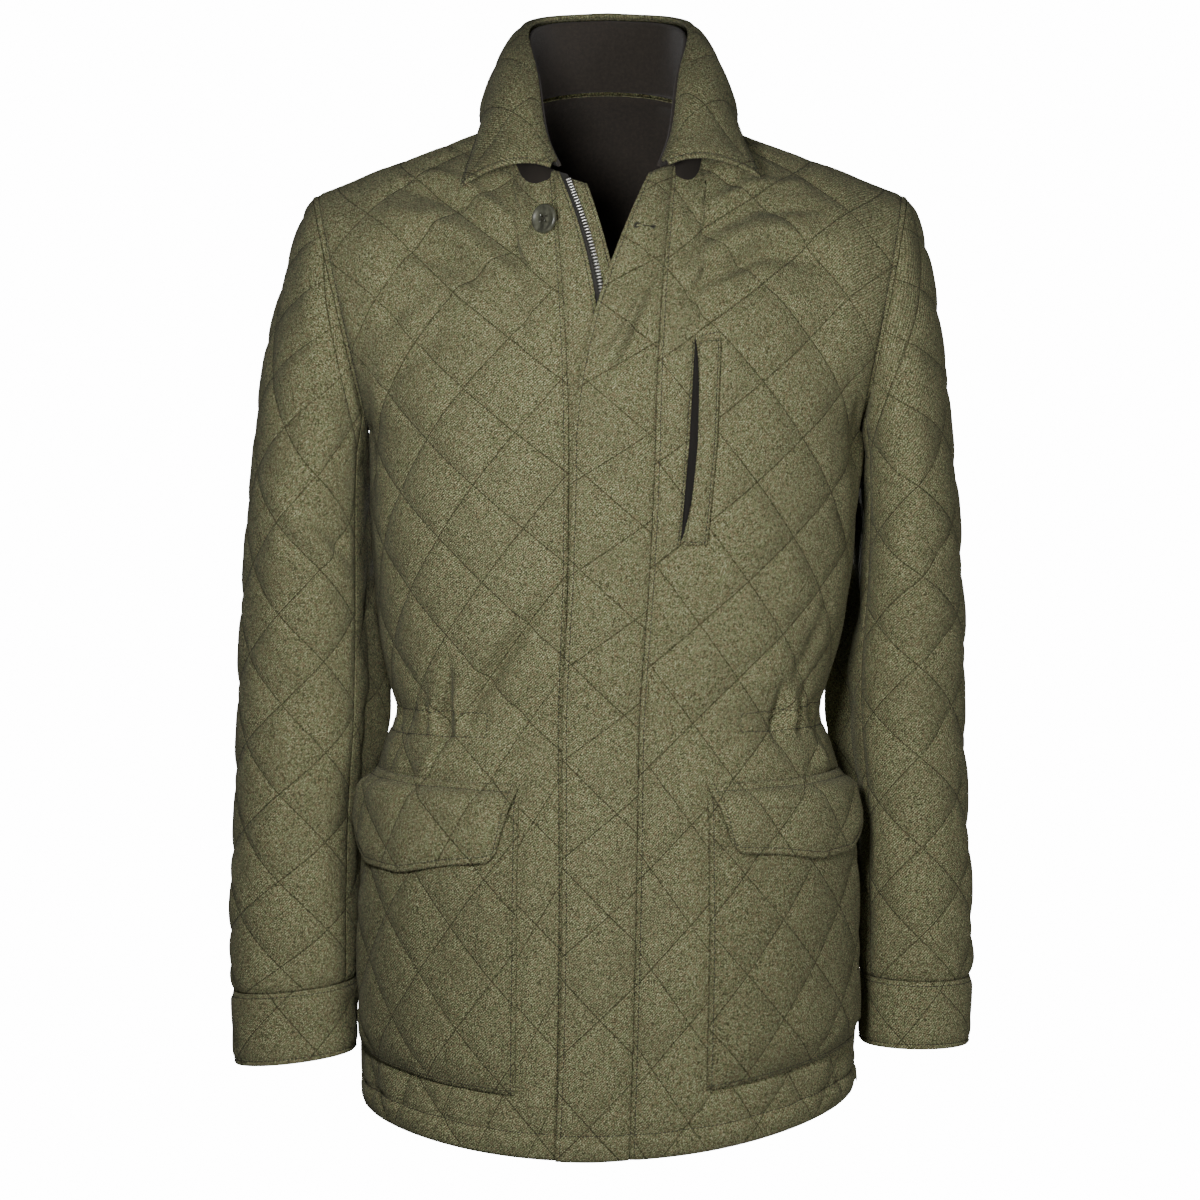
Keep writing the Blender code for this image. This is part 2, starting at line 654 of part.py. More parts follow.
# ---------------------------------------------------------------- the coat's own pieces
def edge_mask(rows, columns):
    """1 inside a grid and 0 on its borders and along the hem's stitched band."""
    mask = np.zeros((rows, columns))
    mask[2:-1, 1:-1] = 1
    return mask


def fold_panel(panel):
    """Raises the panel's long folds and sinks its troughs, leaving the seams where they are."""
    rows, columns = panel.grid.shape[:2]
    j, i = np.mgrid[0:rows, 0:columns].astype(float)
    inside = np.minimum(np.minimum(j, rows - 1 - j), np.minimum(i, columns - 1 - i))
    lift = np.zeros((rows, columns))
    for j0, i0, j1, i1, half_width, height in FOLDS.get(panel.name, ()):
        run = (j1 - j0) ** 2 + (i1 - i0) ** 2
        t = np.clip(((j - j0) * (j1 - j0) + (i - i0) * (i1 - i0)) / run, 0, 1)
        away = np.hypot(j - j0 - t * (j1 - j0), i - i0 - t * (i1 - i0)) / half_width
        lift += height * np.exp(-away * away) * (0.4 + 0.6 * np.sin(math.pi * t))
    panel.grid = panel.grid + panel.normals * (lift * np.minimum(1, inside / 2))[..., None]


def under_arm_mask(rows, columns):
    """Flattens the quilting where the sleeve hangs against the body."""
    j, i = np.mgrid[0:rows, 0:columns]
    near_side = smooth_step((i / (columns - 1) - 0.70) / 0.2)
    return 1 - 0.85 * near_side * (j > 12)


def covered(rows, columns, patch, margin=0.6):
    """1 where a patch lies on a grid, so that the quilting is flat beneath it."""
    j, i = np.mgrid[0:rows, 0:columns]
    inside = (i > patch["in"] - margin) & (i < patch["out"] + margin)
    return inside & (j > patch["bottom"] - margin) & (j < patch["top"] + margin)


def body_panels():
    """The fronts and the back, with their seam normals shared."""
    rows = BODY_ROWS + YOKE_ROWS + 1
    panels = {}
    phases = {"placket_seam": (0, 2), "double_seam": (2, 2)}
    for name, seam in (("front_left", "placket_seam"), ("front_right", "double_seam")):
        puff = quilting(rows, FRONT_COLUMNS + 1, 0, 0, *phases[seam])
        puff *= edge_mask(rows, FRONT_COLUMNS + 1) * under_arm_mask(rows, FRONT_COLUMNS + 1)
        pocket = dict(POCKETS[name[6:]], top=FLAP_TOP)
        puff[covered(rows, FRONT_COLUMNS + 1, pocket)] = 0
        if name == "front_left":
            (first, _), (_, last) = WELT["bottom_columns"], WELT["top_columns"]
            puff[covered(rows, FRONT_COLUMNS + 1, dict(WELT, **{"in": first, "out": last}))] = 0
        panels[name] = Panel(name, front_panel(seam), puff)
    panels["front_right"].flip()
    back = back_panel()
    puff = quilting(rows, back.shape[1], 0, 0, 0, 0) * edge_mask(rows, back.shape[1])
    half = under_arm_mask(rows, back.shape[1] // 2 + 1)
    puff *= np.hstack([half[:, ::-1], half[:, 1:]])
    panels["back"] = Panel("back", back, puff)
    return panels


def placket_lift(panel):
    """Raises the placket towards its free edge, to lie over the other front."""
    share = np.linspace(1, 0, panel.grid.shape[1])[None, :]
    lift = (WALL + PLACKET_CLEARANCE) * smooth_step(share * 1.8)
    panel.grid = panel.grid + panel.normals * lift[..., None]


def lowered(panel, depth):
    panel.grid = panel.grid - panel.normals * depth
    return panel


def front_strips():
    rows = BODY_ROWS + YOKE_ROWS + 1
    placket = Panel("placket_left", strip_panel("placket_edge", "placket_seam", STRIP_COLUMNS))
    placket.puff = 0.6 * quilting(rows, STRIP_COLUMNS + 1, 0, 0, 0, 2)
    placket.puff *= edge_mask(rows, STRIP_COLUMNS + 1)
    grid = mirrored(strip_panel("zip_line", "double_seam", 2))[:, ::-1]
    underlap = Panel("underlap_right", grid, inner_step=1)
    return placket, underlap


def zip_strips():
    """The zip's tape behind the underlap's edge, and the guard behind the tape."""
    line = strip_panel("zip_line", "double_seam", 2)
    guard = strip_panel("guard_edge", "zip_line", 2)
    line_normals, guard_normals = normals_of(line), normals_of(guard)
    inner = line[:, :1] + (line[:, 1:2] - line[:, :1]) * TAPE_COVERED
    towards = guard[:, :1] - guard[:, 2:]
    towards = towards / np.linalg.norm(towards, axis=2, keepdims=True)
    tape_grid = np.concatenate([line[:, :1] + towards * TAPE_SHOWN, line[:, :1], inner], axis=1)
    tape_normals = np.concatenate([line_normals[:, :1]] * 3, axis=1)
    guard_grid = guard.copy()
    guard_grid[:, 2] = inner[:, 0]
    tape = Panel("zip_tape", mirrored(tape_grid)[:, ::-1], wall=TAPE, inner_step=1)
    tape.normals = mirrored(tape_normals)[:, ::-1]
    behind = Panel("zip_guard", mirrored(guard_grid)[:, ::-1], inner_step=1)
    behind.normals = mirrored(guard_normals)[:, ::-1]
    return lowered(tape, WALL + FOLD_GAP), lowered(behind, WALL + TAPE + 3 * FOLD_GAP)


def sleeve_panels():
    """Upper and under sleeves and cuffs of both arms, before they lean."""
    panels = {}
    first, last = UPPER_SLEEVE
    rings = CAP_ROWS + ARM_ROWS
    for side in ("left", "right"):
        upper = sleeve_part(side, first, last, 0, rings)
        under = sleeve_part(side, last, first + SLEEVE_COLUMNS, 0, rings)
        cuff = sleeve_part(side, 0, SLEEVE_COLUMNS, rings, rings + CUFF_ROWS)
        puff = quilting(*upper.shape[:2], 0, 0, 2, 2) * edge_mask(*upper.shape[:2])
        parts = [Panel(f"sleeve_{side}_upper", upper, puff), Panel(f"sleeve_{side}_under", under)]
        parts.append(Panel(f"cuff_{side}", cuff, closed=True))
        parts[1].puff = 0.3 * quilting(*under.shape[:2], 0, 2, 2, 2) * edge_mask(*under.shape[:2])
        for part in parts:
            panels[part.name] = part if side == "left" else part.flip()
    return panels


def collar_rows(stations):
    """Points of the collar's three lines at each station, on the +x side."""
    lines = {}
    for line in ("roll", "mid", "edge"):
        lines[line] = np.column_stack([COLLAR.at(f"{line}_{axis}", stations) for axis in "xyz"])
    return lines


def both_sides(left, right):
    """A grid from the left front end round the back to the right one, from its two halves."""
    return np.hstack([left, mirrored(right)[:, -2::-1]])


def set_leaf(leaf, side):
    """Turns one half of the leaf outwards and lifts its front tip, as it is worn."""
    flare, rise = LEAF_SETS[side]
    near_front = (1 - np.linspace(0, 1, leaf.shape[1])) ** 3
    rise = rise * near_front * np.linspace(1, 0, len(leaf))[:, None]
    return np.stack([leaf[..., 0] * flare, leaf[..., 1], leaf[..., 2] + rise], axis=2)


def collar_panels():
    stations = np.linspace(0, 1, COLLAR_COLUMNS // 2 + 1)
    lines = collar_rows(stations)
    turn = LEAF_START + stations * (math.pi - LEAF_START)
    foot_x = NECK_HALF_WIDTH * np.sin(turn)
    faces = np.where(turn < math.pi / 2, "front", "back")
    foot = np.array([neck_point(x, face) for x, face in zip(foot_x, faces)])
    up = np.array([0, 0, 1.0])
    roll = lines["roll"]
    share = np.linspace(0, 1, STAND_ROWS + 1)[:, None, None]
    stand = (foot + up * STAND_GAP) * (1 - share) + roll * share
    out = roll - roll * (0, 0, 1) - (0, OUT_CENTRE_Y, 0)
    out = out / np.linalg.norm(out, axis=1, keepdims=True)
    leaf = leaf_section(lines, out, up)
    return (
        Panel("collar_stand", both_sides(stand, stand), wall=STAND_WALL),
        Panel("collar_leaf", both_sides(set_leaf(leaf, "left"), set_leaf(leaf, "right")), inner_step=1),
    )


def leaf_section(lines, out, up):
    """Rows of the leaf from its outer edge up over the roll."""
    edge, mid, roll = lines["edge"], lines["mid"], lines["roll"]
    shoulder, crown, end = (roll + out * away + up * rise for away, rise in ROLL.values())
    rows = []
    for t in np.linspace(0, 1, LEAF_ROWS - 1):
        a = edge * (1 - t) + mid * t
        b = mid * (1 - t) + shoulder * t
        swell = a * (1 - t) + b * t
        rows.append(swell + (mid - (edge + shoulder) / 2) * 2 * t * (1 - t))
    return np.array(rows + [crown, end])


def unit(vectors):
    return vectors / np.linalg.norm(vectors, axis=-1, keepdims=True)


def shares(rows, columns):
    """How far up and across each point of a grid is, from 0 to 1."""
    return np.mgrid[0 : rows + 1, 0 : columns + 1] / np.array([rows, columns])[:, None, None]


def pocket_panel(side, front):
    """A pocket that follows the front's own points, moved out, and closes down on three sides."""
    patch = POCKETS[side]
    v, u = shares(patch["top"] - patch["bottom"], patch["out"] - patch["in"])
    i = patch["in"] + (patch["out"] - patch["in"]) * u
    j = patch["bottom"] + (patch["top"] - patch["bottom"]) * v
    if side == "right":
        i = FRONT_COLUMNS - i[:, ::-1]
    base, normals = front.at(j, i), unit(front.at(j, i, front.normals))
    inside = np.minimum(smooth_step(u * 8), smooth_step((1 - u) * 8)) * smooth_step(v * 8)
    lift = POCKET_DEPTH * inside * (1 - 0.8 * smooth_step((v - 0.85) / 0.15))
    panel = Panel(f"pocket_{side}", base + normals * (FOLD_GAP + WALL + lift)[..., None], inner_step=1)
    panel.normals = normals
    panel.puff = 0.8 * quilting(*u.shape) * edge_mask(*u.shape)
    return panel


def flap_panel(side, front):
    """A flap sewn along its top edge, lying over the pocket with a low point near the side."""
    patch = POCKETS[side]
    v, u = shares(FLAP_ROWS, patch["out"] - patch["in"])
    lengths = FLAP_LENGTHS[side]
    length = np.interp(u, np.linspace(0, 1, len(lengths)), lengths)
    i = patch["in"] + (patch["out"] - patch["in"]) * u + FLAP_SLANT * (1 - v) * (1 - u)
    j = FLAP_TOP - length * (1 - v)
    if side == "right":
        i, j = FRONT_COLUMNS - i[:, ::-1], j[:, ::-1]
    base, normals = front.at(j, i), unit(front.at(j, i, front.normals))
    raised = FOLD_GAP + WALL + FLAP_LIFT * smooth_step((FLAP_TOP - j) / FLAP_RISE)
    panel = Panel(f"flap_{side}", base + normals * raised[..., None], inner_step=1)
    panel.normals = np.where(v[..., None] == 1, normals, panel.normals)
    panel.puff = 0.6 * quilting(*u.shape) * edge_mask(*u.shape)
    return panel


def welt_panel(front):
    v, u = shares(*WELT_STEPS)
    low, high = WELT["bottom_columns"], WELT["top_columns"]
    i = (low[0] + (low[1] - low[0]) * u) * (1 - v) + (high[0] + (high[1] - high[0]) * u) * v
    j = WELT["bottom"] + (WELT["top"] - WELT["bottom"]) * v
    base, normals = front.at(j, i), unit(front.at(j, i, front.normals))
    grid = base + normals * (FOLD_GAP + WELT_THICKNESS)
    panel = Panel("chest_welt", grid, wall=WELT_THICKNESS, inner_step=1)
    panel.normals = normals
    return panel


def button_object(front, material, collection):
    """A round button lying on the right front beside the zip."""
    i = np.array([[FRONT_COLUMNS - BUTTON["column"]]])
    j = np.array([[BUTTON["row"]]])
    point, normal = front.at(j, i)[0, 0], front.at(j, i, front.normals)[0, 0]
    normal = normal / np.linalg.norm(normal)
    centre = point + normal * (BUTTON["shank"] + BUTTON["thickness"] / 2)
    bpy.ops.mesh.primitive_cylinder_add(
        vertices=24, radius=BUTTON["radius"], depth=BUTTON["thickness"], location=centre
    )
    thing = bpy.context.object
    thing.name = "button"
    thing.rotation_mode = "QUATERNION"
    thing.rotation_quaternion = Vector(normal).to_track_quat("Z", "Y")
    bevel = thing.modifiers.new("rounded rim", "BEVEL")
    bevel.width = 0.0012
    bevel.segments = 2
    thing.data.materials.append(material)
    for other in list(thing.users_collection):
        other.objects.unlink(thing)
    collection.objects.link(thing)


def main():
    for old in list(bpy.data.objects):
        bpy.data.objects.remove(old, do_unlink=True)
    collection = bpy.data.collections.new("quilted_overcoat")
    bpy.context.scene.collection.children.link(collection)
    finishes = {name: finish(name) for name in COLOURS}

    body = body_panels()
    sleeves = sleeve_panels()
    placket, underlap = front_strips()
    tape, guard = zip_strips()
    share_seam_normals([*body.values(), placket, underlap])
    share_seam_normals(sleeves.values())

    underarm = BODY_ROWS
    top = BODY_ROWS + YOKE_ROWS
    up_edge = range(underarm, top + 1)
    set_armhole(body["front_left"], [(j, -1) for j in up_edge], 1, -1)
    set_armhole(body["front_right"], [(j, 0) for j in up_edge], -1, -1)
    set_armhole(body["back"], [(j, 0) for j in up_edge], 1, -1)
    set_armhole(body["back"], [(j, -1) for j in up_edge], -1, -1)
    for name, panel in sleeves.items():
        if "cuff" not in name:
            spots = [(-1, i) for i in range(panel.grid.shape[1])]
            set_armhole(panel, spots, 1 if "left" in name else -1, 1)

    for panel in [*body.values(), *sleeves.values()]:
        fold_panel(panel)
    placket_lift(placket)
    pockets = []
    for side in ("left", "right"):
        front = body[f"front_{side}"]
        pockets += [pocket_panel(side, front), flap_panel(side, front)]
    welt = welt_panel(body["front_left"])

    for panel in [*body.values(), *sleeves.values()]:
        closed = panel.closed
        pull_back(panel, ["bottom", "top"] if closed else ["left", "right", "bottom", "top"])
    for panel in (placket, underlap):
        pull_back(panel, ["left", "right", "top"])

    stand, leaf = collar_panels()
    wool = [*body.values(), *sleeves.values(), placket, underlap, guard, leaf, *pockets, welt]
    for panel in wool:
        wall_object(panel.lean(), finishes["wool"], collection)
    wall_object(stand.lean(), finishes["brown"], collection)
    wall_object(tape.lean(), finishes["tape"], collection)
    button_object(body["front_right"], finishes["horn"], collection)


main()
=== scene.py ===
"""The looks of a hip-length quilted overcoat of wool flannel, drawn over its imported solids.

The cloth is drawn from the same measures as the solids, in eight finer steps to each of theirs: the
diamonds' soft padding, the pinched seams, the long folds, the gathered waist, and the stitching.
"""

import math

import bmesh
import bpy
import numpy as np
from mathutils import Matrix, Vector

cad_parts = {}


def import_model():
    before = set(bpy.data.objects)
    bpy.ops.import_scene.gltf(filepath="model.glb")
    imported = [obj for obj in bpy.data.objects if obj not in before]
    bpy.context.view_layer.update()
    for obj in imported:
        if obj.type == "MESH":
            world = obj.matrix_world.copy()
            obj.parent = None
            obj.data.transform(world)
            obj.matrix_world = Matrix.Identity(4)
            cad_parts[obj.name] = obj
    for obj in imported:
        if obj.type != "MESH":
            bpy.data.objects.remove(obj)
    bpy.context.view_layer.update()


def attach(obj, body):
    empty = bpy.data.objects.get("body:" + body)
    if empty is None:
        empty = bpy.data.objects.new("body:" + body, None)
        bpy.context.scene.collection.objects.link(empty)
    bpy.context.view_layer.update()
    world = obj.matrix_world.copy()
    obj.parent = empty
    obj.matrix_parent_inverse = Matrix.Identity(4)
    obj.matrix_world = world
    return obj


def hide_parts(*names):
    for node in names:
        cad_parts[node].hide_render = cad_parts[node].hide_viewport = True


FINE = 8  # fine steps in one step of the pattern

# ---------------------------------------------------------------- measures, in metres
WALL = 0.0030
TAPE = 0.0012
PADDING = 0.0028  # how far the middle of a diamond stands up
GAP = 0.0003
FOLD_GAP = 0.0005
PLACKET_CLEARANCE = 0.0012
SEAM_DIP = 0.0018  # how deep a seam is pinched
BACK_DIP = 0.0010
SLEEVE_DIP = 0.0007
SIDE_DIP = 0.0004  # down the side seams, where the sleeve hangs close
EDGE_ROLL = 0.0014  # how far a folded edge rounds off

HEM_HEIGHT = -0.729
HEM_DROP = 0.027
HEM_BAND = 0.020
HEM_BULGE = 0.0016
UNDERARM_HEIGHT = -0.215
BODY_ROWS = 28
YOKE_ROWS = 12
FRONT_COLUMNS = 14
BACK_NECK_COLUMNS = 4
SHOULDER_COLUMNS = 12
MIDDLE_COLUMN = 6  # up which a front's height on the cloth is measured
STRIP_COLUMNS = 4

SIDE_Y = 0.005
SQUARENESS = 2.4
ARM_REACH = 0.192
SHOULDER_TIP = (0.227, 0.002, -0.036)
UNDERARM = (0.188, 0.002, UNDERARM_HEIGHT)
ARMHOLE_HALF_DEPTH = 0.070
NECK_HALF_WIDTH = 0.072
NECK_FRONT = 0.097
NECK_BACK = 0.075
NECK_MIDDLE_Y = 0.004
NECK_HEIGHTS = {"front": -0.021, "side": 0.024, "back": 0.042}

SLEEVE_COLUMNS = 24
CAP_ROWS = 12
ARM_ROWS = 22
CUFF_ROWS = 4
UPPER_SLEEVE = (-8, 10)
CAP_FOOT = -0.260


class Table:
    """Rows of sizes with named columns, read smoothly at any place along the first column."""

    def __init__(self, names, *rows):
        self.names = names.split()
        self.rows = np.array(sorted(rows), dtype=float)

    def at(self, name, place):
        knots = self.rows[:, 0]
        values = self.rows[:, self.names.index(name)]
        slopes = np.gradient(values, knots)
        place = np.clip(place, knots[0], knots[-1])
        k = np.clip(np.searchsorted(knots, place, side="right") - 1, 0, len(knots) - 2)
        step = knots[k + 1] - knots[k]
        t = (place - knots[k]) / step
        start = (1 + 2 * t) * (1 - t) ** 2 * values[k] + t * (1 - t) ** 2 * step * slopes[k]
        end = t * t * (3 - 2 * t) * values[k + 1] + t * t * (t - 1) * step * slopes[k + 1]
        return start + end


BODY = Table(
    "height half_width front back",
    (-0.760, 0.1885, -0.151, 0.147), (-0.700, 0.1890, -0.152, 0.148),
    (-0.620, 0.1895, -0.151, 0.146), (-0.545, 0.1870, -0.149, 0.139),
    (-0.490, 0.1810, -0.145, 0.126), (-0.457, 0.1725, -0.141, 0.115),
    (-0.431, 0.1630, -0.137, 0.108), (-0.407, 0.1685, -0.138, 0.108),
    (-0.378, 0.1760, -0.140, 0.110), (-0.340, 0.1815, -0.143, 0.114),
    (-0.280, 0.1865, -0.147, 0.120), (-0.215, 0.1880, -0.148, 0.125),
)
LEAN = Table(
    "height lean tilt",
    (-0.780, 0.000, 0.026), (-0.700, 0.0005, 0.024), (-0.600, 0.001, 0.008),
    (-0.500, 0.0005, 0.000), (-0.436, 0.000, 0.000), (-0.310, 0.004, 0.000),
    (-0.200, 0.0045, 0.000), (-0.036, 0.0015, 0.000), (0.020, 0.000, 0.000), (0.120, 0.000, 0.000),
)
FRONT_LINES = Table(
    "height placket_edge placket_seam double_seam zip_line guard_edge",
    (-0.760, -0.041, 0.015, 0.036, 0.008, -0.022),
    (-0.650, -0.037, 0.018, 0.035, 0.008, -0.022),
    (-0.530, -0.035, 0.021, 0.034, 0.008, -0.022),
    (-0.380, -0.034, 0.025, 0.034, 0.008, -0.022),
    (-0.215, -0.031, 0.031, 0.034, 0.008, -0.022),
)
NECK_ENDS = {
    "placket_edge": (0.029, 1.7),
    "placket_seam": (0.050, 1.7),
    "double_seam": (0.043, 1.7),
    "zip_line": (0.0385, 3.0),
    "guard_edge": (0.018, 1.5),
}
SLEEVE_RIGHT = Table(
    "height outer inner middle half_depth",
    (-0.760, 0.2860, 0.1960, -0.020, 0.0410), (-0.647, 0.2910, 0.1950, -0.014, 0.0440),
    (-0.560, 0.2900, 0.1945, -0.004, 0.0500), (-0.490, 0.2870, 0.1920, 0.006, 0.0560),
    (-0.440, 0.2855, 0.1880, 0.010, 0.0590), (-0.387, 0.2840, 0.1880, 0.012, 0.0620),
    (-0.330, 0.2835, 0.1898, 0.011, 0.0660), (-0.260, 0.2790, 0.1905, 0.007, 0.0720),
    (-0.215, 0.2745, 0.1880, 0.003, 0.0730),
)
SLEEVE_LEFT = Table(
    "height outer inner middle half_depth",
    (-0.760, 0.2760, 0.1950, -0.012, 0.0430), (-0.647, 0.2800, 0.1945, -0.006, 0.0460),
    (-0.560, 0.2780, 0.1940, 0.003, 0.0520), (-0.490, 0.2760, 0.1930, 0.012, 0.0590),
    (-0.440, 0.2745, 0.1890, 0.016, 0.0620), (-0.387, 0.2730, 0.1880, 0.018, 0.0650),
    (-0.330, 0.2690, 0.1900, 0.016, 0.0690), (-0.260, 0.2630, 0.1905, 0.010, 0.0740),
    (-0.215, 0.2585, 0.1880, 0.004, 0.0740),
)
TUCK = Table(
    "height reach",
    (-0.760, 0.006), (-0.647, 0.007), (-0.560, 0.010), (-0.520, 0.015), (-0.490, 0.023),
    (-0.462, 0.030), (-0.431, 0.030), (-0.402, 0.031), (-0.370, 0.024), (-0.330, 0.019),
    (-0.294, 0.015), (-0.260, 0.0115), (-0.235, 0.009), (-0.222, 0.006), (-0.215, 0.000),
)
TUCK_TURN = (math.radians(178), math.radians(290))
TUCK_FULLNESS = 1.2  # how soon the sleeve reaches in: less is sooner
HEAD_RIGHT = Table(
    "height outer",
    (-0.036, 0.2270), (-0.060, 0.2375), (-0.088, 0.2465), (-0.118, 0.2555), (-0.146, 0.2625),
    (-0.178, 0.2685), (-0.216, 0.2745), (-0.260, 0.2790),
)
HEAD_LEFT = Table(
    "height outer",
    (-0.036, 0.2270), (-0.050, 0.2330), (-0.075, 0.2400), (-0.102, 0.2455), (-0.136, 0.2500),
    (-0.172, 0.2540), (-0.216, 0.2585), (-0.260, 0.2630),
)
SLEEVE_ENDS = {
    "left": ((-0.636, -0.634), (-0.688, -0.687)),
    "right": ((-0.647, -0.637), (-0.703, -0.692)),
}
COLLAR = Table(
    "station roll_x roll_y roll_z mid_x mid_y mid_z edge_x edge_y edge_z",
    (0.00, 0.038, -0.090, -0.012, 0.074, -0.092, -0.009, 0.1105, -0.074, -0.026),
    (0.18, 0.047, -0.072, 0.012, 0.078, -0.071, 0.010, 0.1030, -0.050, -0.003),
    (0.38, 0.053, -0.042, 0.052, 0.080, -0.040, 0.044, 0.0960, -0.020, 0.016),
    (0.60, 0.060, 0.006, 0.086, 0.083, 0.008, 0.064, 0.0945, 0.016, 0.025),
    (0.80, 0.045, 0.052, 0.096, 0.062, 0.066, 0.072, 0.0730, 0.076, 0.034),
    (1.00, 0.000, 0.073, 0.099, 0.000, 0.095, 0.074, 0.000, 0.106, 0.036),
)
COLLAR_START = math.radians(32)  # from the middle of the neck's front round to the collar's end
COLLAR_COLUMNS = 24
STAND_ROWS = 4
STAND_GAP = 0.0018
STAND_WALL = 0.0025
LEAF_SETS = {"left": (1.045, 0.007), "right": (1.03, 0.0)}

POCKETS = {
    "left": {"in": 3, "out": 12, "bottom": 2.5, "top": 13.5},
    "right": {"in": 2, "out": 12, "bottom": 2.5, "top": 13.5},
}
POCKET_DEPTH = 0.005
FLAP_TOP = 14
FLAP_ROWS = 4
FLAP_LENGTHS = {
    "left": (2.65, 2.85, 3.25, 3.2, 2.2),
    "right": (2.95, 3.25, 3.75, 3.7, 2.6),
}
FLAP_SLANT = 0.8
FLAP_LIFT = 0.0110
WELT = {"bottom": 23.8, "top": 30.95, "bottom_columns": (1.37, 2.35), "top_columns": (1.74, 2.76)}
WELT_STEPS = (16, 2)
WELT_THICKNESS = 0.0028
BUTTON = {"radius": 0.0112, "thickness": 0.0038, "shank": 0.0022, "column": 0.3, "row": 36.4}
BUTTON_FACING = (-0.60, -0.785, 0.15)  # the button has turned on its thread
BUTTON_STANDS = 0.0032  # and so stands this much further off the cloth
HOLE = {"reach": 0.0019, "radius": 0.00085, "sides": 16}  # the button's four holes

# The looks alone, in metres where they aren't rows and columns of the pattern
STITCH = {"pitch": 0.0031, "length": 0.0025, "width": 0.00075, "height": 0.0004}
EDGE_STITCH = 0.0035  # from a sewn edge to its stitched row
ARMHOLE_STITCH = 0.0045
TOOTH = {"pitch": 0.00262, "width": 0.0042, "height": 0.0016, "thickness": 0.0017}
TWILL = 0.0022  # from one rib of the twill to the next
THREAD_STEP = 0.0033  # from one dash of the quilting thread to the next
DIAMOND = 0.051  # the side of a diamond
POCKET_MOUTH = (23.85, 31.25, 0.40)  # from row to row, and how many steps wide at its middle
MOUTH_SHIFT = -0.16  # the lip lies this many steps on the placket's side of the welt
MOUTH_DEPTH = 0.0026
# Where the stand's brown shows on the front under the leaf, darkened as painted shade in that gap
STAND_PAINTED_SHADE = {"start": 0.0, "stop": 2.6, "depth": 2.45}  # columns from the seam, and rows down
FLOOR_HEIGHT = -1.25
FLOOR_REACH = 2.0
PAPER_WHITE = 15.0  # how bright the floor and the paper behind it are to the camera

# How the quilting's two families of lines are numbered over a panel, from u and v, the lengths of
# cloth across it and up it in decimetres: start + across * u + up * v + skew * u * v + turn * v * v
QUILTING = {
    "front_left": ((-0.619, 2.136, 1.386, -0.090, -0.008), (-0.612, 1.556, -1.253, -0.125, -0.003)),
    "front_right": ((-1.574, 2.527, 1.323, -0.170, 0.006), (-0.499, 1.354, -1.189, -0.065, -0.026)),
    "placket_left": ((-0.115, 1.230, 1.083, -0.008, 0.029), (8.560, 1.382, -1.349, -0.077, -0.014)),
    "pocket_left": ((-0.652, 1.828, 1.348, 0.0, 0.0), (-0.967, 1.595, -1.268, 0.0, 0.0)),
    "pocket_right": ((-1.135, 1.780, 1.212, 0.0, 0.0), (-0.472, 1.562, -1.440, 0.0, 0.0)),
    "sleeve_right": ((0.179, 0.899, 1.432, 0.131, -0.034), (0.365, 1.630, -1.619, 0.014, 0.016)),
    "sleeve_left": ((-0.086, 1.360, 1.354, -0.077, 0.021), (-0.175, 1.501, -1.562, -0.041, 0.028)),
    "back": ((0.0, 1.42, 1.33, 0.0, 0.0), (0.0, 1.42, -1.33, 0.0, 0.0)),
    "collar": ((0.35, 1.42, 1.33, 0.0, 0.0), (0.60, 1.42, -1.33, 0.0, 0.0)),
    "cuff": ((0.10, 1.42, 1.33, 0.0, 0.0), (0.30, 1.42, -1.33, 0.0, 0.0)),
}

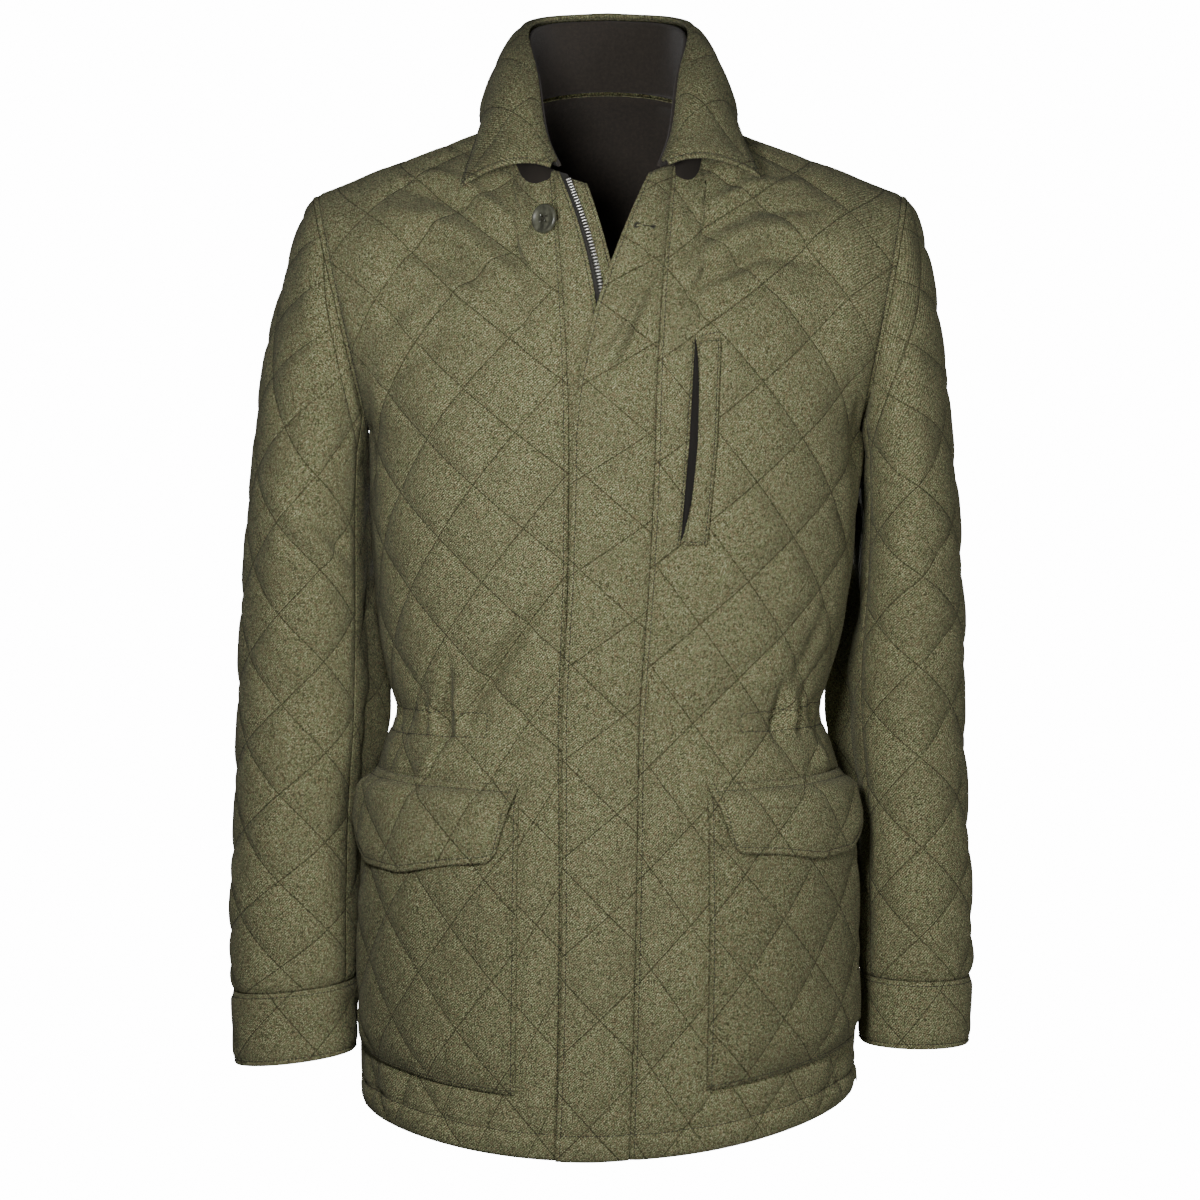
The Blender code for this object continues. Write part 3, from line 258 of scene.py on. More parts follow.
# Folds on a panel: where each starts and ends in rows and columns of the pattern, its half width in
# steps and its height, below zero for a trough, in units of FOLD_RELIEF metres
FOLD_RELIEF = 0.0026
SLEEVE_FOLD_RELIEF = FOLD_RELIEF * 0.55
FOLDS = {
    "front_left": (
        (36.5, 10.9, 33.4, 1.3, 0.9, 2.6), (34.6, 9.6, 32.6, 1.2, 0.7, -1.6),
        (33.0, 8.5, 31.4, 2.4, 0.9, 1.4), (37.3, 7.6, 34.7, 1.0, 0.34, 1.9),
        (36.2, 8.8, 34.0, 0.9, 0.32, -2.0), (35.3, 9.6, 33.2, 0.8, 0.34, 2.0),
        (34.3, 7.9, 32.5, 0.8, 0.34, -2.0), (33.5, 6.4, 31.9, 0.7, 0.34, 1.6),
        (32.7, 5.0, 31.2, 0.6, 0.34, -1.4), (37.6, 4.0, 35.6, 1.0, 0.5, 1.6),
        (30.6, 12.6, 26.5, 10.6, 0.6, -1.6), (29.0, 13.2, 25.0, 11.8, 0.6, 1.6),
        (17.8, 7.0, 15.6, 7.0, 0.30, -2.6), (17.4, 7.9, 15.8, 7.9, 0.30, 2.4),
        (17.6, 8.8, 15.9, 8.6, 0.26, -2.2), (17.2, 10.2, 16.0, 10.3, 0.30, -1.6),
        (21.0, 9.0, 17.6, 7.6, 0.5, -1.4), (15.4, 9.4, 13.9, 10.0, 0.5, 1.4),
    ),
    "front_right": (
        (36.0, 2.6, 34.4, 10.8, 0.9, 1.8), (31.4, 4.0, 32.6, 12.2, 1.0, 1.6),
        (38.0, 6.4, 33.8, 13.2, 0.34, 1.8), (37.3, 5.6, 33.0, 13.0, 0.34, -2.0),
        (36.4, 4.8, 32.2, 12.8, 0.36, 2.0), (35.4, 4.4, 31.5, 12.4, 0.36, -1.8),
        (34.3, 5.0, 30.9, 12.2, 0.36, 1.4), (33.2, 1.6, 32.4, 7.0, 0.40, -1.4),
        (30.4, 4.4, 31.4, 9.0, 0.5, -1.8), (36.8, 11.2, 35.9, 13.2, 0.4, 1.6),
        (29.5, 1.2, 25.6, 3.2, 0.6, -1.6), (16.6, 9.0, 21.5, 13.0, 0.42, -3.2),
        (17.4, 8.8, 20.6, 11.4, 0.5, 1.6), (16.4, 11.4, 18.4, 13.6, 0.42, -2.2),
        (15.8, 7.7, 18.9, 8.3, 0.32, -2.6), (15.7, 8.6, 17.6, 8.8, 0.28, 2.6),
        (15.9, 7.0, 17.2, 6.9, 0.26, 2.2), (16.0, 6.4, 17.0, 6.2, 0.24, -1.8),
        (17.0, 3.4, 15.8, 3.2, 0.30, -1.6), (15.2, 8.0, 13.9, 6.4, 0.5, 1.4),
    ),
    "back": (
        (17.6, 5.0, 15.4, 5.2, 0.30, -2.2), (17.6, 7.0, 15.4, 7.0, 0.30, 2.0),
        (17.6, 9.2, 15.4, 9.0, 0.32, -2.4), (17.6, 12.0, 15.4, 12.1, 0.30, 2.0),
        (17.6, 14.4, 15.4, 14.6, 0.28, -2.0), (17.6, 17.2, 15.4, 17.0, 0.30, 2.2),
        (17.6, 19.9, 15.4, 20.0, 0.32, -2.4), (17.6, 22.6, 15.4, 22.8, 0.30, 2.0),
        (17.6, 25.0, 15.4, 25.1, 0.28, -2.2), (17.6, 27.4, 15.4, 27.2, 0.30, 2.0),
        (20.5, 10.0, 17.6, 12.6, 0.5, -2.0), (20.5, 22.0, 17.6, 19.4, 0.5, -2.0),
        (31.0, 3.0, 28.0, 9.0, 0.8, 2.0), (31.0, 29.0, 28.0, 23.0, 0.8, 2.0),
    ),
    "sleeve_left_upper": (
        (19.0, 2.0, 16.0, 8.0, 0.9, 3.2), (21.0, 3.0, 18.5, 8.0, 0.8, -2.8),
        (24.6, 1.4, 22.0, 5.0, 0.6, 1.8), (13.0, 3.0, 10.8, 9.0, 0.8, -1.8),
        (31.0, 3.0, 27.0, 4.6, 0.6, 1.6),
    ),
    "sleeve_right_upper": (
        (22.4, 13.0, 18.8, 17.6, 0.55, -3.2), (21.2, 13.0, 17.6, 17.6, 0.6, 3.2),
        (24.6, 13.6, 21.6, 17.4, 0.7, 2.6), (13.6, 12.0, 11.4, 17.0, 0.7, -2.0),
        (9.0, 13.0, 7.4, 17.0, 0.7, 1.6), (31.0, 13.4, 27.4, 15.4, 0.6, 1.6),
    ),
    "sleeve_left_under": ((20.0, 1.0, 16.0, 5.0, 0.8, -2.0), (14.0, 5.0, 11.0, 1.0, 0.8, 1.8)),
    "sleeve_right_under": ((20.0, 5.0, 16.0, 1.0, 0.8, -2.0), (14.0, 1.0, 11.0, 5.0, 0.8, 1.8)),
    "placket_left": (
        (34.6, 3.5, 30.2, 0.9, 0.32, 2.2), (33.6, 3.6, 30.0, 1.7, 0.28, -1.8),
        (35.6, 3.2, 32.6, 0.8, 0.26, -1.2),
    ),
}


def smooth_step(t):
    t = np.clip(t, 0, 1)
    return t * t * (3 - 2 * t)


def fine(steps):
    return np.linspace(0, 1, steps * FINE + 1)


def unit(vectors):
    return vectors / np.maximum(np.linalg.norm(vectors, axis=-1, keepdims=True), 1e-12)


# ---------------------------------------------------------------- the coat's form
def quarter_section(half_width, depth):
    """Length along, x and y, from the centre of the front or back round to the side seam."""
    turn = np.linspace(0, math.pi / 2, 361)
    x = half_width * np.sin(turn) ** (2 / SQUARENESS)
    y = SIDE_Y + (depth - SIDE_Y) * np.cos(turn) ** (2 / SQUARENESS)
    along = np.concatenate([[0], np.cumsum(np.hypot(np.diff(x), np.diff(y)))])
    return along, x, y


def body_grid(inner, outer, columns, face):
    """Points from the hem to the underarm, on the +x side."""
    heights = HEM_HEIGHT + (UNDERARM_HEIGHT - HEM_HEIGHT) * fine(BODY_ROWS)
    share = fine(columns)
    grid = np.empty((len(heights), len(share), 3))
    for row, height in enumerate(heights):
        half_width = BODY.at("half_width", height)
        along, x, y = quarter_section(half_width, BODY.at(face, height))
        ends = {"middle": 0.0, "side": along[-1]}
        start, stop = (ends[n] if n in ends else FRONT_LINES.at(n, height) for n in (inner, outer))
        s = start + (stop - start) * share
        grid[row, :, 0] = np.sign(s) * np.interp(abs(s), along, x)
        grid[row, :, 1] = np.interp(abs(s), along, y)
        drop = HEM_DROP * smooth_step((height + 0.45) / (HEM_HEIGHT + 0.45)) * (face == "front")
        grid[row, :, 2] = height - drop * (1 - (grid[row, :, 0] / half_width) ** 2)
    return grid


def neck_line(x, face):
    """The neck seam over the distances x from the centre."""
    x = np.asarray(x, dtype=float)
    depth = NECK_FRONT if face == "front" else -NECK_BACK
    share = np.sqrt(1 - np.minimum(1, (x / NECK_HALF_WIDTH) ** 2))
    side, end = NECK_HEIGHTS["side"], NECK_HEIGHTS[face]
    return np.stack([x, NECK_MIDDLE_Y - depth * share, side + (end - side) * share], axis=-1)


def neck_reach(start, columns):
    """Distances from the centre along the neck seam, from start to its corner."""
    low = math.asin(start / NECK_HALF_WIDTH)
    return NECK_HALF_WIDTH * np.sin(low + (math.pi / 2 - low) * fine(columns))


def armhole(turn, side_y):
    low, tip = np.array(UNDERARM), np.array(SHOULDER_TIP)
    point = low + (tip - low) * ((1 - np.cos(turn)) / 2)[..., None]
    point[..., 1] += side_y * ARMHOLE_HALF_DEPTH * np.sin(turn)
    return point


def yoke_grid(bottom, top, bends, late, face, to_armhole):
    """Rows above the underarm, from the body's last row to the neck and shoulder seams."""
    w = fine(YOKE_ROWS)[:, None]
    turn = bends * w
    rise = np.sin(turn) / np.sin(bends)
    reach = (1 - np.cos(turn)) / (1 - np.cos(bends))
    grid = np.empty((len(w), len(bottom), 3))
    grid[..., 0] = bottom[:, 0] + (top[:, 0] - bottom[:, 0]) * rise**late
    grid[..., 1] = bottom[:, 1] + (top[:, 1] - bottom[:, 1]) * reach
    grid[..., 2] = bottom[:, 2] + (top[:, 2] - bottom[:, 2]) * rise
    if to_armhole:
        share = smooth_step((np.linspace(0, 1, len(bottom)) - 0.35) / 0.65)
        edge = armhole(math.pi * w[:, 0], -1 if face == "front" else 1)
        grid += share[None, :, None] * (edge - grid[:, -1])[:, None, :]
    return grid


def shoulder_seam():
    corner = neck_line(NECK_HALF_WIDTH, "front")
    share = fine(SHOULDER_COLUMNS)[:, None]
    return corner + (np.array(SHOULDER_TIP) - corner) * share


def front_form(seam):
    """One front on the +x side, from its seam line to the side seam and armhole."""
    lower = body_grid(seam, "side", FRONT_COLUMNS, "front")
    lower[-1, -1] = UNDERARM
    neck_x, late = NECK_ENDS[seam]
    neck = neck_line(neck_reach(neck_x, FRONT_COLUMNS - SHOULDER_COLUMNS), "front")
    top = np.vstack([neck, shoulder_seam()[1:]])
    share = fine(FRONT_COLUMNS)
    bends = np.radians(62 + 18 * np.minimum(1, share * 3))
    lates = late + (1 - late) * np.minimum(1, share * 1.5)
    upper = yoke_grid(lower[-1], top, bends, lates, "front", True)
    return np.vstack([lower, upper[1:]])


def strip_form(inner, outer, columns):
    """A strip of the front between two of its lines, from the hem to the neck."""
    lower = body_grid(inner, outer, columns, "front")
    (x0, late0), (x1, late1) = NECK_ENDS[inner], NECK_ENDS[outer]
    top = neck_line(x0 + (x1 - x0) * fine(columns), "front")
    lates = late0 + (late1 - late0) * fine(columns)
    bends = np.radians(np.full(len(top), 62.0))
    upper = yoke_grid(lower[-1], top, bends, lates, "front", False)
    return np.vstack([lower, upper[1:]])


def back_form():
    """The whole back, from the left side seam round the back to the right one."""
    columns = BACK_NECK_COLUMNS + SHOULDER_COLUMNS
    lower = body_grid("middle", "side", columns, "back")
    lower[-1, -1] = UNDERARM
    neck = neck_line(neck_reach(0.0, BACK_NECK_COLUMNS), "back")
    top = np.vstack([neck, shoulder_seam()[1:]])
    bends = np.radians(62 + 18 * np.minimum(1, fine(columns) * 3))
    upper = yoke_grid(lower[-1], top, bends, 1.0, "back", True)
    half = np.vstack([lower, upper[1:]])
    return np.hstack([half[:, ::-1], mirrored(half)[:, 1:]])


def sleeve_ring(outer, inner, middle, half_depth, columns):
    """A ring through an outer and an inner point (x, z), by column from the outer side."""
    turn = 2 * math.pi * columns / SLEEVE_COLUMNS
    lean = ((1 + np.cos(turn)) / 2)[:, None]
    ring = np.empty((len(turn), 3))
    ring[:, ::2] = np.array(inner) + (np.array(outer) - np.array(inner)) * lean
    ring[:, 1] = middle - half_depth * np.sin(turn)
    start, stop = TUCK_TURN
    behind = np.clip((turn % (2 * math.pi) - start) / (stop - start), 0, 1)
    ring[:, 0] -= TUCK.at("reach", ring[:, 2]) * np.sin(math.pi * behind) ** TUCK_FULLNESS
    return ring


def head_points(head, arm):
    """Outer and inner points down the sleeve's head, evenly spaced along each line."""
    z = np.linspace(SHOULDER_TIP[2], CAP_FOOT, 241)
    x = head.at("outer", z)
    length = np.concatenate([[0], np.cumsum(np.hypot(np.diff(x), np.diff(z)))])
    drop = fine(CAP_ROWS)
    at = length[-1] * drop
    outer = np.column_stack([np.interp(at, length, x), np.interp(at, length, z)])
    inner_z = UNDERARM_HEIGHT + (CAP_FOOT - UNDERARM_HEIGHT) * drop
    spread = UNDERARM[0] + (arm.at("inner", CAP_FOOT) - UNDERARM[0]) * np.minimum(1, drop * 2)
    return outer, np.column_stack([spread, inner_z]), drop


def sleeve_rings(head, arm, ends, columns):
    """All rings from the armhole to the cuff's edge, on the +x side."""
    outer, inner, drop = head_points(head, arm)
    rings = []
    for k, share in enumerate(drop):
        start_y, end_y = SHOULDER_TIP[1], arm.at("middle", CAP_FOOT)
        depth = ARMHOLE_HALF_DEPTH + (arm.at("half_depth", CAP_FOOT) - ARMHOLE_HALF_DEPTH) * share
        rings.append(
            sleeve_ring(outer[k], inner[k], start_y + (end_y - start_y) * share, depth, columns)
        )
    seam, edge = ends
    for start, stop, steps in (((CAP_FOOT, CAP_FOOT), seam, ARM_ROWS), (seam, edge, CUFF_ROWS)):
        for share in fine(steps)[1:]:
            zo = start[0] + (stop[0] - start[0]) * share
            zi = start[1] + (stop[1] - start[1]) * share
            low = (zo + zi) / 2
            pair = (arm.at("outer", zo), zo), (arm.at("inner", zi), zi)
            rings.append(
                sleeve_ring(*pair, arm.at("middle", low), arm.at("half_depth", low), columns)
            )
    return np.array(rings)


def sleeve_form(side, first, last, start_ring, stop_ring):
    """Part of a sleeve as a grid with rows going up and columns to the right, seen from outside."""
    head, arm = (HEAD_LEFT, SLEEVE_LEFT) if side == "left" else (HEAD_RIGHT, SLEEVE_RIGHT)
    columns = np.linspace(last, first, (last - first) * FINE + 1)
    rings = sleeve_rings(head, arm, SLEEVE_ENDS[side], columns)
    return rings[start_ring * FINE : stop_ring * FINE + 1][::-1]


def mirrored(grid):
    return grid * np.array([-1, 1, 1])


def normals_of(grid):
    return unit(np.cross(np.gradient(grid, axis=1), np.gradient(grid, axis=0)))


# ---------------------------------------------------------------- a piece of cloth
class Panel:
    """A piece of cloth: its stitched-down face, which way it faces, how far it is raised, the
    lengths of cloth across and up it, and the numbers of its two families of quilting lines."""

    def __init__(self, name, grid, wall=WALL, closed=False):
        self.name = name
        self.grid = grid
        self.wall = wall
        self.closed = closed
        self.normals = normals_of(grid)
        if closed:
            ring = np.concatenate([grid[:, -2:-1], grid, grid[:, 1:2]], axis=1)
            self.normals = normals_of(ring)[:, 1:-1]
        self.lift = np.zeros(grid.shape[:2])
        across = np.linalg.norm(np.diff(grid, axis=1), axis=2)
        up = np.linalg.norm(np.diff(grid, axis=0), axis=2)
        self.across = np.pad(np.cumsum(across, axis=1), ((0, 0), (1, 0)))
        self.up = np.pad(np.cumsum(up, axis=0), ((1, 0), (0, 0)))
        self.lines = [np.full(grid.shape[:2], 0.5)] * 2

    def edges(self):
        """How far each point is from the left, right, bottom and top edges."""
        return {
            "left": self.across - self.across[:, :1],
            "right": self.across[:, -1:] - self.across,
            "bottom": self.up - self.up[:1],
            "top": self.up[-1:] - self.up,
        }

    def number_lines(self, key, shift=0.0, across=None, up=None):
        u = ((self.across if across is None else across) + shift) * 10
        v = (self.up if up is None else up) * 10
        self.lines = [
            start + across * u + up * v + skew * u * v + turn * v * v
            for start, across, up, skew, turn in QUILTING[key]
        ]

    def pad(self, height=PADDING, mask=1.0):
        """Raises the diamonds between the quilting lines."""
        a, b = (1 - (1 - np.abs(np.sin(math.pi * n))) ** 2.1 for n in self.lines)
        near = np.min(list(self.edges().values()), axis=0) if not self.closed else 1.0
        self.lift = self.lift + height * a * b * mask * smooth_step(near / 0.014)

    def pinch(self, sides, depth=SEAM_DIP, width=0.0028):
        edges = self.edges()
        for side in sides.split():
            self.lift = self.lift - depth * np.exp(-((edges[side] / width) ** 2))

    def roll(self, sides, size=EDGE_ROLL):
        """Rounds off folded edges."""
        edges = self.edges()
        for side in sides.split():
            t = np.clip(1 - edges[side] / size, 0, 1)
            self.lift = self.lift - size * (1 - np.sqrt(1 - t * t * 0.96))

    def band(self, side, width, height, groove=0.0011):
        """A padded band along an edge, held by one stitched row."""
        d = self.edges()[side]
        bulge = height * np.sin(math.pi * np.clip(d / width, 0, 1)) ** 0.7 * (d < width)
        self.lift = self.lift + bulge - groove * np.exp(-(((d - width) / 0.0022) ** 2))

    def fold(self):
        """Raises the long folds and sinks the troughs, leaving the seams where they are."""
        rows, columns = self.grid.shape[:2]
        j, i = np.mgrid[0:rows, 0:columns] / FINE
        inside = np.minimum(np.minimum(j, j[-1, 0] - j), np.minimum(i, i[0, -1] - i))
        lift = np.zeros((rows, columns))
        relief = SLEEVE_FOLD_RELIEF if "sleeve" in self.name else FOLD_RELIEF
        for j0, i0, j1, i1, half_width, height in FOLDS.get(self.name, ()):
            run = (j1 - j0) ** 2 + (i1 - i0) ** 2
            t = np.clip(((j - j0) * (j1 - j0) + (i - i0) * (i1 - i0)) / run, 0, 1)
            away = np.hypot(j - j0 - t * (j1 - j0), i - i0 - t * (i1 - i0)) / half_width
            swell = 0.35 + 0.65 * np.sin(math.pi * t)
            lift += relief * height * swell * np.exp(-away * away)
        waves = np.sin(0.83 * j + 0.37 * i + 1.3) * np.sin(0.29 * j - 0.71 * i + 0.4)
        lift += 0.0007 * waves + 0.0004 * np.sin(1.9 * i + 0.6 * j) * np.sin(1.1 * j + 2.0)
        lift = lift * np.minimum(1, inside / 1.5)
        self.grid = self.grid + self.normals * lift[..., None]

    def press(self, path, depth=0.0010, width=0.0016):
        """Sinks the cloth along a stitched row, given by rows and columns of the pattern."""
        points = self.at(path[:, 0], path[:, 1])
        flat = self.grid.reshape(-1, 3)
        nearest = np.full(len(flat), 1.0)
        for a, b in zip(points[:-1], points[1:]):
            low, high = np.minimum(a, b) - 0.006, np.maximum(a, b) + 0.006
            box = np.all((flat > low) & (flat < high), axis=1)
            span = b - a
            t = np.clip((flat[box] - a) @ span / max(span @ span, 1e-12), 0, 1)
            away = np.linalg.norm(flat[box] - a - t[:, None] * span, axis=1)
            nearest[box] = np.minimum(nearest[box], away)
        dip = np.exp(-((nearest / width) ** 2)).reshape(self.lift.shape)
        self.lift = self.lift - depth * dip

    def at(self, j, i, array=None):
        """The face, or an array like it, at rows and columns of the pattern."""
        array = self.grid if array is None else array
        j, i = np.asarray(j, dtype=float) * FINE, np.asarray(i, dtype=float) * FINE
        j0 = np.clip(np.floor(j).astype(int), 0, array.shape[0] - 2)
        i0 = np.clip(np.floor(i).astype(int), 0, array.shape[1] - 2)
        v, u = j - j0, i - i0
        if array.ndim == 3:
            v, u = v[..., None], u[..., None]
        low = array[j0, i0] * (1 - u) + array[j0, i0 + 1] * u
        high = array[j0 + 1, i0] * (1 - u) + array[j0 + 1, i0 + 1] * u
        return low * (1 - v) + high * v

    def surface(self, j, i, above=0.0):
        """Points on the raised face, and its normals."""
        normals = unit(self.at(j, i, self.normals))
        lift = self.at(j, i, self.lift) + above
        return self.at(j, i) + normals * np.asarray(lift)[..., None], normals

    def flip(self):
        self.grid = mirrored(self.grid)[:, ::-1]
        self.normals = mirrored(self.normals)[:, ::-1]
        self.lift = self.lift[:, ::-1]
        self.across = -self.across[:, ::-1]
        self.up = self.up[:, ::-1]
        self.lines = [n[:, ::-1] for n in self.lines]
        return self

    def raised(self):
        return self.grid + self.normals * self.lift[..., None]


def leant(points):
    """Takes up the wearer's own stance; the arms hang free of the hem's tilt."""
    x, y, z = np.moveaxis(points, -1, 0)
    tilt = LEAN.at("tilt", z) * x * (np.abs(x) < ARM_REACH)
    return np.stack([x + LEAN.at("lean", z), y, z + tilt], axis=-1)


def border_of(rows, columns):
    """Round a grid's border, from its lower left corner and to the right first."""
    last_row, last_column = rows - 1, columns - 1
    right_up = [(0, i) for i in range(last_column)] + [(j, last_column) for j in range(last_row)]
    return right_up + [(last_row - j, last_column - i) for j, i in right_up]


def share_seam_normals(panels):
    """Where panels meet, all of them take the mean of their normals."""
    spots, total = [], {}
    for panel in panels:
        for spot in border_of(*panel.grid.shape[:2]):
            key = tuple(np.round(panel.grid[spot] * 2e4).astype(int))
            spots.append((panel, spot, key))
            total[key] = total.get(key, 0) + panel.normals[spot]
    for panel, spot, key in spots:
        panel.normals[spot] = unit(total[key])


def set_armhole(panel, spots, side, away):
    """Turns the normals at an armhole edge to lie in the armhole's plane, and moves the edge."""
    low, tip = np.array(UNDERARM), np.array(SHOULDER_TIP)
    rise = tip - low
    out = np.array([rise[2], 0, -rise[0]]) / np.hypot(rise[0], rise[2]) * (side, 1, 1)
    middle = (low + tip) / 2 * (side, 1, 1)
    for spot in spots:
        radial = panel.grid[spot] - middle
        radial = radial - out * np.dot(radial, out)
        panel.normals[spot] = unit(radial)
        panel.grid[spot] = panel.grid[spot] + out * away * GAP / 2


def pull_back(panel, sides):
    """Draws the named borders in by half the gap between sewn pieces."""
    grid = panel.grid
    moves = {
        "left": (grid[:, 1] - grid[:, 0], np.s_[:, 0]),
        "right": (grid[:, -2] - grid[:, -1], np.s_[:, -1]),
        "bottom": (grid[1] - grid[0], np.s_[0]),
        "top": (grid[-2] - grid[-1], np.s_[-1]),
    }
    for side in sides.split():
        step, place = moves[side]
        grid[place] = grid[place] + unit(step) * GAP / 2


# ---------------------------------------------------------------- from cloth to meshes
def cells(rows, columns, heights, first):
    """Two triangles for each cell of a grid, parted along its lower diagonal."""
    j, i = np.mgrid[0 : rows - 1, 0 : columns - 1]
    a = first + j * columns + i
    b, c = a + 1, a + columns
    d = c + 1
    cross = heights[:-1, 1:] + heights[1:, :-1] < heights[:-1, :-1] + heights[1:, 1:]
    one = np.where(cross[..., None], np.stack([a, b, c], -1), np.stack([a, b, d], -1))
    two = np.where(cross[..., None], np.stack([b, d, c], -1), np.stack([a, d, c], -1))
    return np.concatenate([one.reshape(-1, 3), two.reshape(-1, 3)])


def rim(outer, inner, step):
    """The strip that joins an outer border to an inner one with step times fewer steps."""
    faces = []
    for k in range(len(inner) - 1):
        b0, b1 = inner[k], inner[k + 1]
        a = outer[step * k : step * (k + 1) + 1]
        half = max(1, step // 2)
        faces += [(a[m + 1], a[m], b0) for m in range(half)]
        faces.append((a[half], b0, b1))
        faces += [(a[m + 1], a[m], b1) for m in range(half, step)]
    return faces


def cloth_mesh(panel, finishes, step):
    """A thin closed shell: the raised face, a plain back on a net that is step times coarser,
    and the cut edges between them."""
    rows, columns = panel.grid.shape[:2]
    face = panel.raised()
    back = (panel.grid - panel.normals * panel.wall)[::step, ::step]
    inner_rows, inner_columns = back.shape[:2]
    base = rows * columns
    front_faces = cells(rows, columns, panel.lift, 0)
    level = np.zeros((inner_rows, inner_columns))
    back_faces = cells(inner_rows, inner_columns, level, base)[:, ::-1]
    if panel.closed:
        bottom = [(0, i) for i in range(columns)]
        top = [(rows - 1, i) for i in range(columns - 1, -1, -1)]
        borders = [bottom, top]
    else:
        loop = border_of(rows, columns)
        borders = [loop + loop[:1]]
    edge_faces = []
    for border in borders:
        outer = [j * columns + i for j, i in border]
        inner = [base + j // step * inner_columns + i // step for j, i in border[::step]]
        edge_faces += rim(outer, inner, step)
    points = leant(np.vstack([face.reshape(-1, 3), back.reshape(-1, 3)]))
    faces = np.concatenate([front_faces, np.array(edge_faces), back_faces])
    layers = {"cloth": (panel.across, panel.up), "quilt": panel.lines}
    thing = mesh_object(f"{panel.name}_cloth", points, faces, finishes)
    mesh = thing.data
    for name, (u, v) in layers.items():
        values = np.stack([u, v], axis=-1)
        values = np.vstack([values.reshape(-1, 2), values[::step, ::step].reshape(-1, 2)])
        layer = mesh.uv_layers.new(name=name)
        layer.data.foreach_set("uv", values[faces.ravel()].ravel())
    if len(finishes) > 1:
        lining = np.zeros(len(faces), dtype=np.int32)
        lining[-len(back_faces) :] = 1
        mesh.polygons.foreach_set("material_index", lining)
    if panel.closed:
        weld(mesh)
    mesh.update()
    return thing


def mesh_object(name, points, faces, finishes):
    mesh = bpy.data.meshes.new(name)
    mesh.from_pydata(np.asarray(points).tolist(), [], np.asarray(faces).tolist())
    mesh.shade_smooth()
    for finish in finishes:
        mesh.materials.append(finish)
    thing = bpy.data.objects.new(name, mesh)
    bpy.context.scene.collection.objects.link(thing)
    return thing


def weld(mesh):
    bm = bmesh.new()
    bm.from_mesh(mesh)
    bmesh.ops.remove_doubles(bm, verts=bm.verts, dist=1e-6)
    bm.to_mesh(mesh)
    bm.free()


def between(at, length, values):
    """Vectors at places along a line, from those at its points."""
    return np.column_stack([np.interp(at, length, values[:, k]) for k in range(3)])


def along_path(points, pitch):
    """Evenly spaced places along a line of points: positions and the way along it."""
    length = np.concatenate([[0], np.cumsum(np.linalg.norm(np.diff(points, axis=0), axis=1))])
    count = max(1, int(length[-1] / pitch))
    at = (np.arange(count) + 0.5) * length[-1] / count
    ahead, behind = (between(at + d, length, points) for d in (5e-4, -5e-4))
    return at, length, between(at, length, points), unit(ahead - behind)


def stitch_row(points, normals):
    """Points and faces of one row of stitches lying on a line of cloth."""
    at, lengths, place, way = along_path(points, STITCH["pitch"])
    normal = unit(between(at, lengths, normals))
    side = unit(np.cross(way, normal))
    place = place + normal * STITCH["height"] * 0.35
    return bars(place, way, side, normal, STITCH["length"], STITCH["width"])


def skin(rings, sides):
    """Faces round and between rings of points, with a fan over each end."""
    faces = []
    for a0 in range(0, (rings - 1) * sides, sides):
        for c in range(sides):
            a, b = a0 + c, a0 + (c + 1) % sides
            faces += [(a, b, b + sides), (a, b + sides, a + sides)]
    last = (rings - 1) * sides
    faces += [(0, k + 1, k) for k in range(1, sides - 1)]
    return faces + [(last, last + k, last + k + 1) for k in range(1, sides - 1)]


def bars(place, way, side, normal, length, width):
    """Short rounded bars, one at each place: six-sided in length, pointed into the cloth."""
    profile = ((-0.5, 0.15, -0.9), (-0.32, 0.9, 0.5), (0.32, 0.9, 0.5), (0.5, 0.15, -0.9))
    points = []
    for k in range(len(place)):
        for run, spread, rise in profile:
            centre = place[k] + way[k] * run * length + normal[k] * STITCH["height"] * rise * 0.5
            points += [
                centre - side[k] * width * spread / 2,
                centre + normal[k] * width * spread / 2,
                centre + side[k] * width * spread / 2,
                centre - normal[k] * width * spread / 2,
            ]
    one = np.array(skin(len(profile), 4))
    bases = np.arange(len(place))[:, None, None] * 4 * len(profile)
    return np.array(points), (one + bases).reshape(-1, 3)


class Heap:
    """Collects many small meshes into one object."""

    def __init__(self):
        self.points, self.faces, self.count = [], [], 0

    def add(self, points, faces):
        self.points.append(np.asarray(points, dtype=float))
        self.faces.append(np.asarray(faces) + self.count)
        self.count += len(points)

    def object(self, name, finishes, lean=True):
        points = np.vstack(self.points)
        return mesh_object(name, leant(points) if lean else points, np.vstack(self.faces), finishes)


def path(*stops):
    """A row of stitching through stops given in rows and columns of the pattern."""
    stops = np.array(stops, dtype=float)
    rows = []
    for a, b in zip(stops[:-1], stops[1:]):
        steps = max(2, int(np.hypot(*(b - a)) * 6))
        rows.append(a + (b - a) * np.linspace(0, 1, steps, endpoint=False)[:, None])
    return np.vstack([*rows, stops[-1:]])


def inset_path(panel, side, distance, start=0.0, stop=None):
    """A row at a constant distance from one side of a panel."""
    upright, backward = side in ("left", "right"), side in ("right", "top")
    distances = panel.edges()[side] if upright else panel.edges()[side].T
    stop = (len(distances) - 1) / FINE if stop is None else stop
    along = np.arange(int(start * FINE), int(stop * FINE) + 1, 2)
    lines = distances[along, ::-1] if backward else distances[along]
    away = np.array([np.interp(distance, line, np.arange(len(line))) for line in lines])
    away = lines.shape[1] - 1 - away if backward else away
    return np.column_stack([along, away] if upright else [away, along]) / FINE


# ---------------------------------------------------------------- finishes
def _operator(operation, swapped=False):
    def apply(self, other):
        first, second = (other, self) if swapped else (self, other)
        return self.finish.node("ShaderNodeMath", {"operation": operation}, {0: first, 1: second})

    return apply


